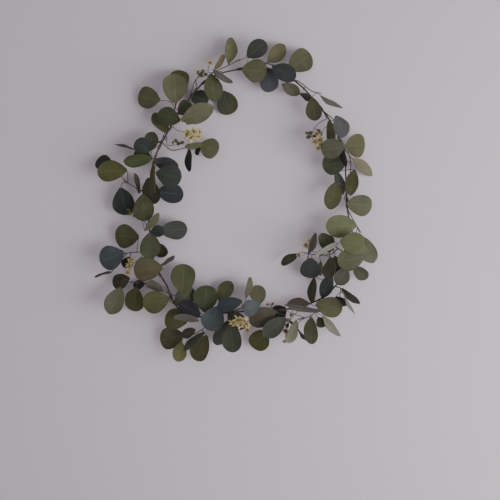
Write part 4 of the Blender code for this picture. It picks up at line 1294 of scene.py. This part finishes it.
def make_spray(name, row, blank, bark, material):
    """A thin wire with its heads, each on a short stalk from the nearest point of the wire."""
    start, side, route, heads = row
    coarse = spray_line(start, side, route)
    line = spray_line(start, side, route, STEM_SPANS)
    parts = [(line, taper(len(line), SPRAY_WIRE / 2, SPRAY_WIRE * 0.32))]
    shapes = []
    for number, (x, z, depth, size) in enumerate(heads):
        centre = plan_point(x, z, depth * MM)
        near = min(coarse, key=lambda p: (p - centre).length)
        away = centre - near
        if away.length > SHORTEST_STALK:
            bend = near.lerp(centre, 0.55) + Vector((0, 0.12 * away.length, -0.10 * away.length))
            stalk = smooth_line([near, bend, centre], 3)
            parts.append((stalk, taper(len(stalk), SPRAY_WIRE * 0.36, SPRAY_WIRE * 0.28)))
        head = copied(blank, f"{name}_{number}")
        direction = away.normalized() + forward(HEAD_LEAN[material.name])
        spin = Matrix.Rotation(2.4 * number, 4, "Z")
        head.data.transform(facing(direction, centre, size * HEAD_SIZE[material.name] * MM) @ spin)
        if not blank.data.materials:
            painted(head, material)
        shapes.append(head)
    stalks = painted(wires(name + "_stalks", parts, 1), bark)
    return smoothed(joined(name, [stalks] + shapes), SHARP_CORNER)


# ---- Wall, floor, light and camera ----


def plain_material(name, tone, scale):
    shader = Shader(name, 0.85)
    place = shader.place()
    grain = shader.noise(place, scale, 4.0)
    shader.colour(shader.varied(linear(tone), grain, 0.985, 1.015))
    shader.bump(grain, 0.0006, 0.3)
    return shader


def make_wall():
    """The wall behind the wreath. It shows from the front only, so that the back can be looked at."""
    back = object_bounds()[1].y + WALL_GAP
    centre = (0, back, -0.4)
    bpy.ops.mesh.primitive_plane_add(size=WALL_SIZE, location=centre, rotation=(math.pi / 2, 0, 0))
    wall = bpy.context.object
    wall.name = "wall"
    shader = plain_material("wall_paint", WALL_TONE, 90.0)
    backfacing = shader.node("ShaderNodeNewGeometry", "Backfacing", {})
    clear = shader.node("ShaderNodeBsdfTransparent", 0, {})
    shown = shader.node("ShaderNodeMixShader", 0, {0: backfacing, 1: shader.surface.outputs[0], 2: clear})
    shader.put(shader.tree.nodes["Material Output"].inputs["Surface"], shown)
    painted(wall, shader.material)
    wall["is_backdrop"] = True


def make_floor():
    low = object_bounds()[0].z
    bpy.ops.mesh.primitive_plane_add(size=FLOOR_SIZE, location=(0, 0, low - FLOOR_DROP))
    floor = bpy.context.object
    floor.name = "floor"
    painted(floor, plain_material("floor_paint", FLOOR_TONE, 30.0).material)
    floor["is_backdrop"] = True


def make_light(name, place, target, size, power, colour):
    data = bpy.data.lights.new(name, "AREA")
    data.shape = "DISK"
    data.size = size
    data.energy = power
    data.color = colour
    light = linked(bpy.data.objects.new(name, data))
    light.location = place
    light.rotation_euler = (Vector(target) - Vector(place)).to_track_quat("-Z", "Y").to_euler()


def make_sky(strength, colour):
    world = bpy.data.worlds.new("room_light")
    bpy.context.scene.world = world
    world.use_nodes = True
    background = world.node_tree.nodes["Background"]
    background.inputs["Color"].default_value = (*colour, 1.0)
    background.inputs["Strength"].default_value = strength


def make_camera():
    """Square on to the wall, with its axis a little below the wreath's middle."""
    middle = plan_point(*VIEW_CENTRE)
    data = bpy.data.cameras.new("camera")
    data.sensor_width = SENSOR_WIDTH
    data.lens = SENSOR_WIDTH * VIEW_DISTANCE / VIEW_WIDTH
    camera = linked(bpy.data.objects.new("camera", data))
    camera.location = middle + forward(VIEW_DISTANCE)
    camera.rotation_euler = (math.pi / 2, 0, 0)
    bpy.context.scene.camera = camera


# ---- The wreath ----

settled = settled_wreath()
leaf_top = leaf_material("leaf_top", under=False)
leaf_under = leaf_material("leaf_underside", under=True)
stem_bark = bark_material("stem_bark", "33302b", "55503f", 260.0)
hoop_wrap = wrap_material("hoop_wrap", "2e2822", "4a4136", 300.0)
binding_tape = wrap_material("binding_tape", "3a322a", "5a4e3f", 4.0)
seed_case = seed_material()
cream_petal = petal_material("cream_petal", PETAL_TONE, PETAL_HEART)
stamen = petal_material("stamen", "8a6a2c", "4a3512")

slots = ("leaf_olive", "leaf_green", "leaf_slate")
leaf_sheet = leaf_blank()
tape_sleeve = tape_blank()
for number, (name, (start, routes, _)) in enumerate(SPRIGS.items(), 1):
    slot = slots[(number - 1) % len(slots)]
    placed(make_leaves(number, settled[name], leaf_sheet, leaf_top, leaf_under), slot, name)
    placed(make_stems(number, start, routes, settled[name], stem_bark), slot)
    placed(make_tape(number, start, tape_sleeve, binding_tape), "tape", name.replace("sprig", "binding"))

seed_shape = seed_blank()
for name, row in SEED_SPRAYS.items():
    spray = make_spray(name.replace("seed_spray", "seeds"), row, seed_shape, stem_bark, seed_case)
    placed(spray, "seed", name)
blossom = flower_blank(cream_petal, stamen, seed_case)
for name, row in FLOWER_PICKS.items():
    pick = make_spray(name.replace("flower_pick", "flowers"), row, blossom, stem_bark, cream_petal)
    placed(pick, "flower", name)
placed(make_hoop(hoop_wrap), "hoop_wire", "hoop")

hanger = make_hanger(steel_material())
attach(hanger, "hanger")
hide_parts("hanger")
for blank in (leaf_sheet, tape_sleeve, seed_shape, blossom):
    bpy.data.objects.remove(blank)

make_wall()
make_floor()
make_camera()
for light in LIGHTS:
    make_light(*light)
make_sky(SKY_STRENGTH, SKY_COLOUR)
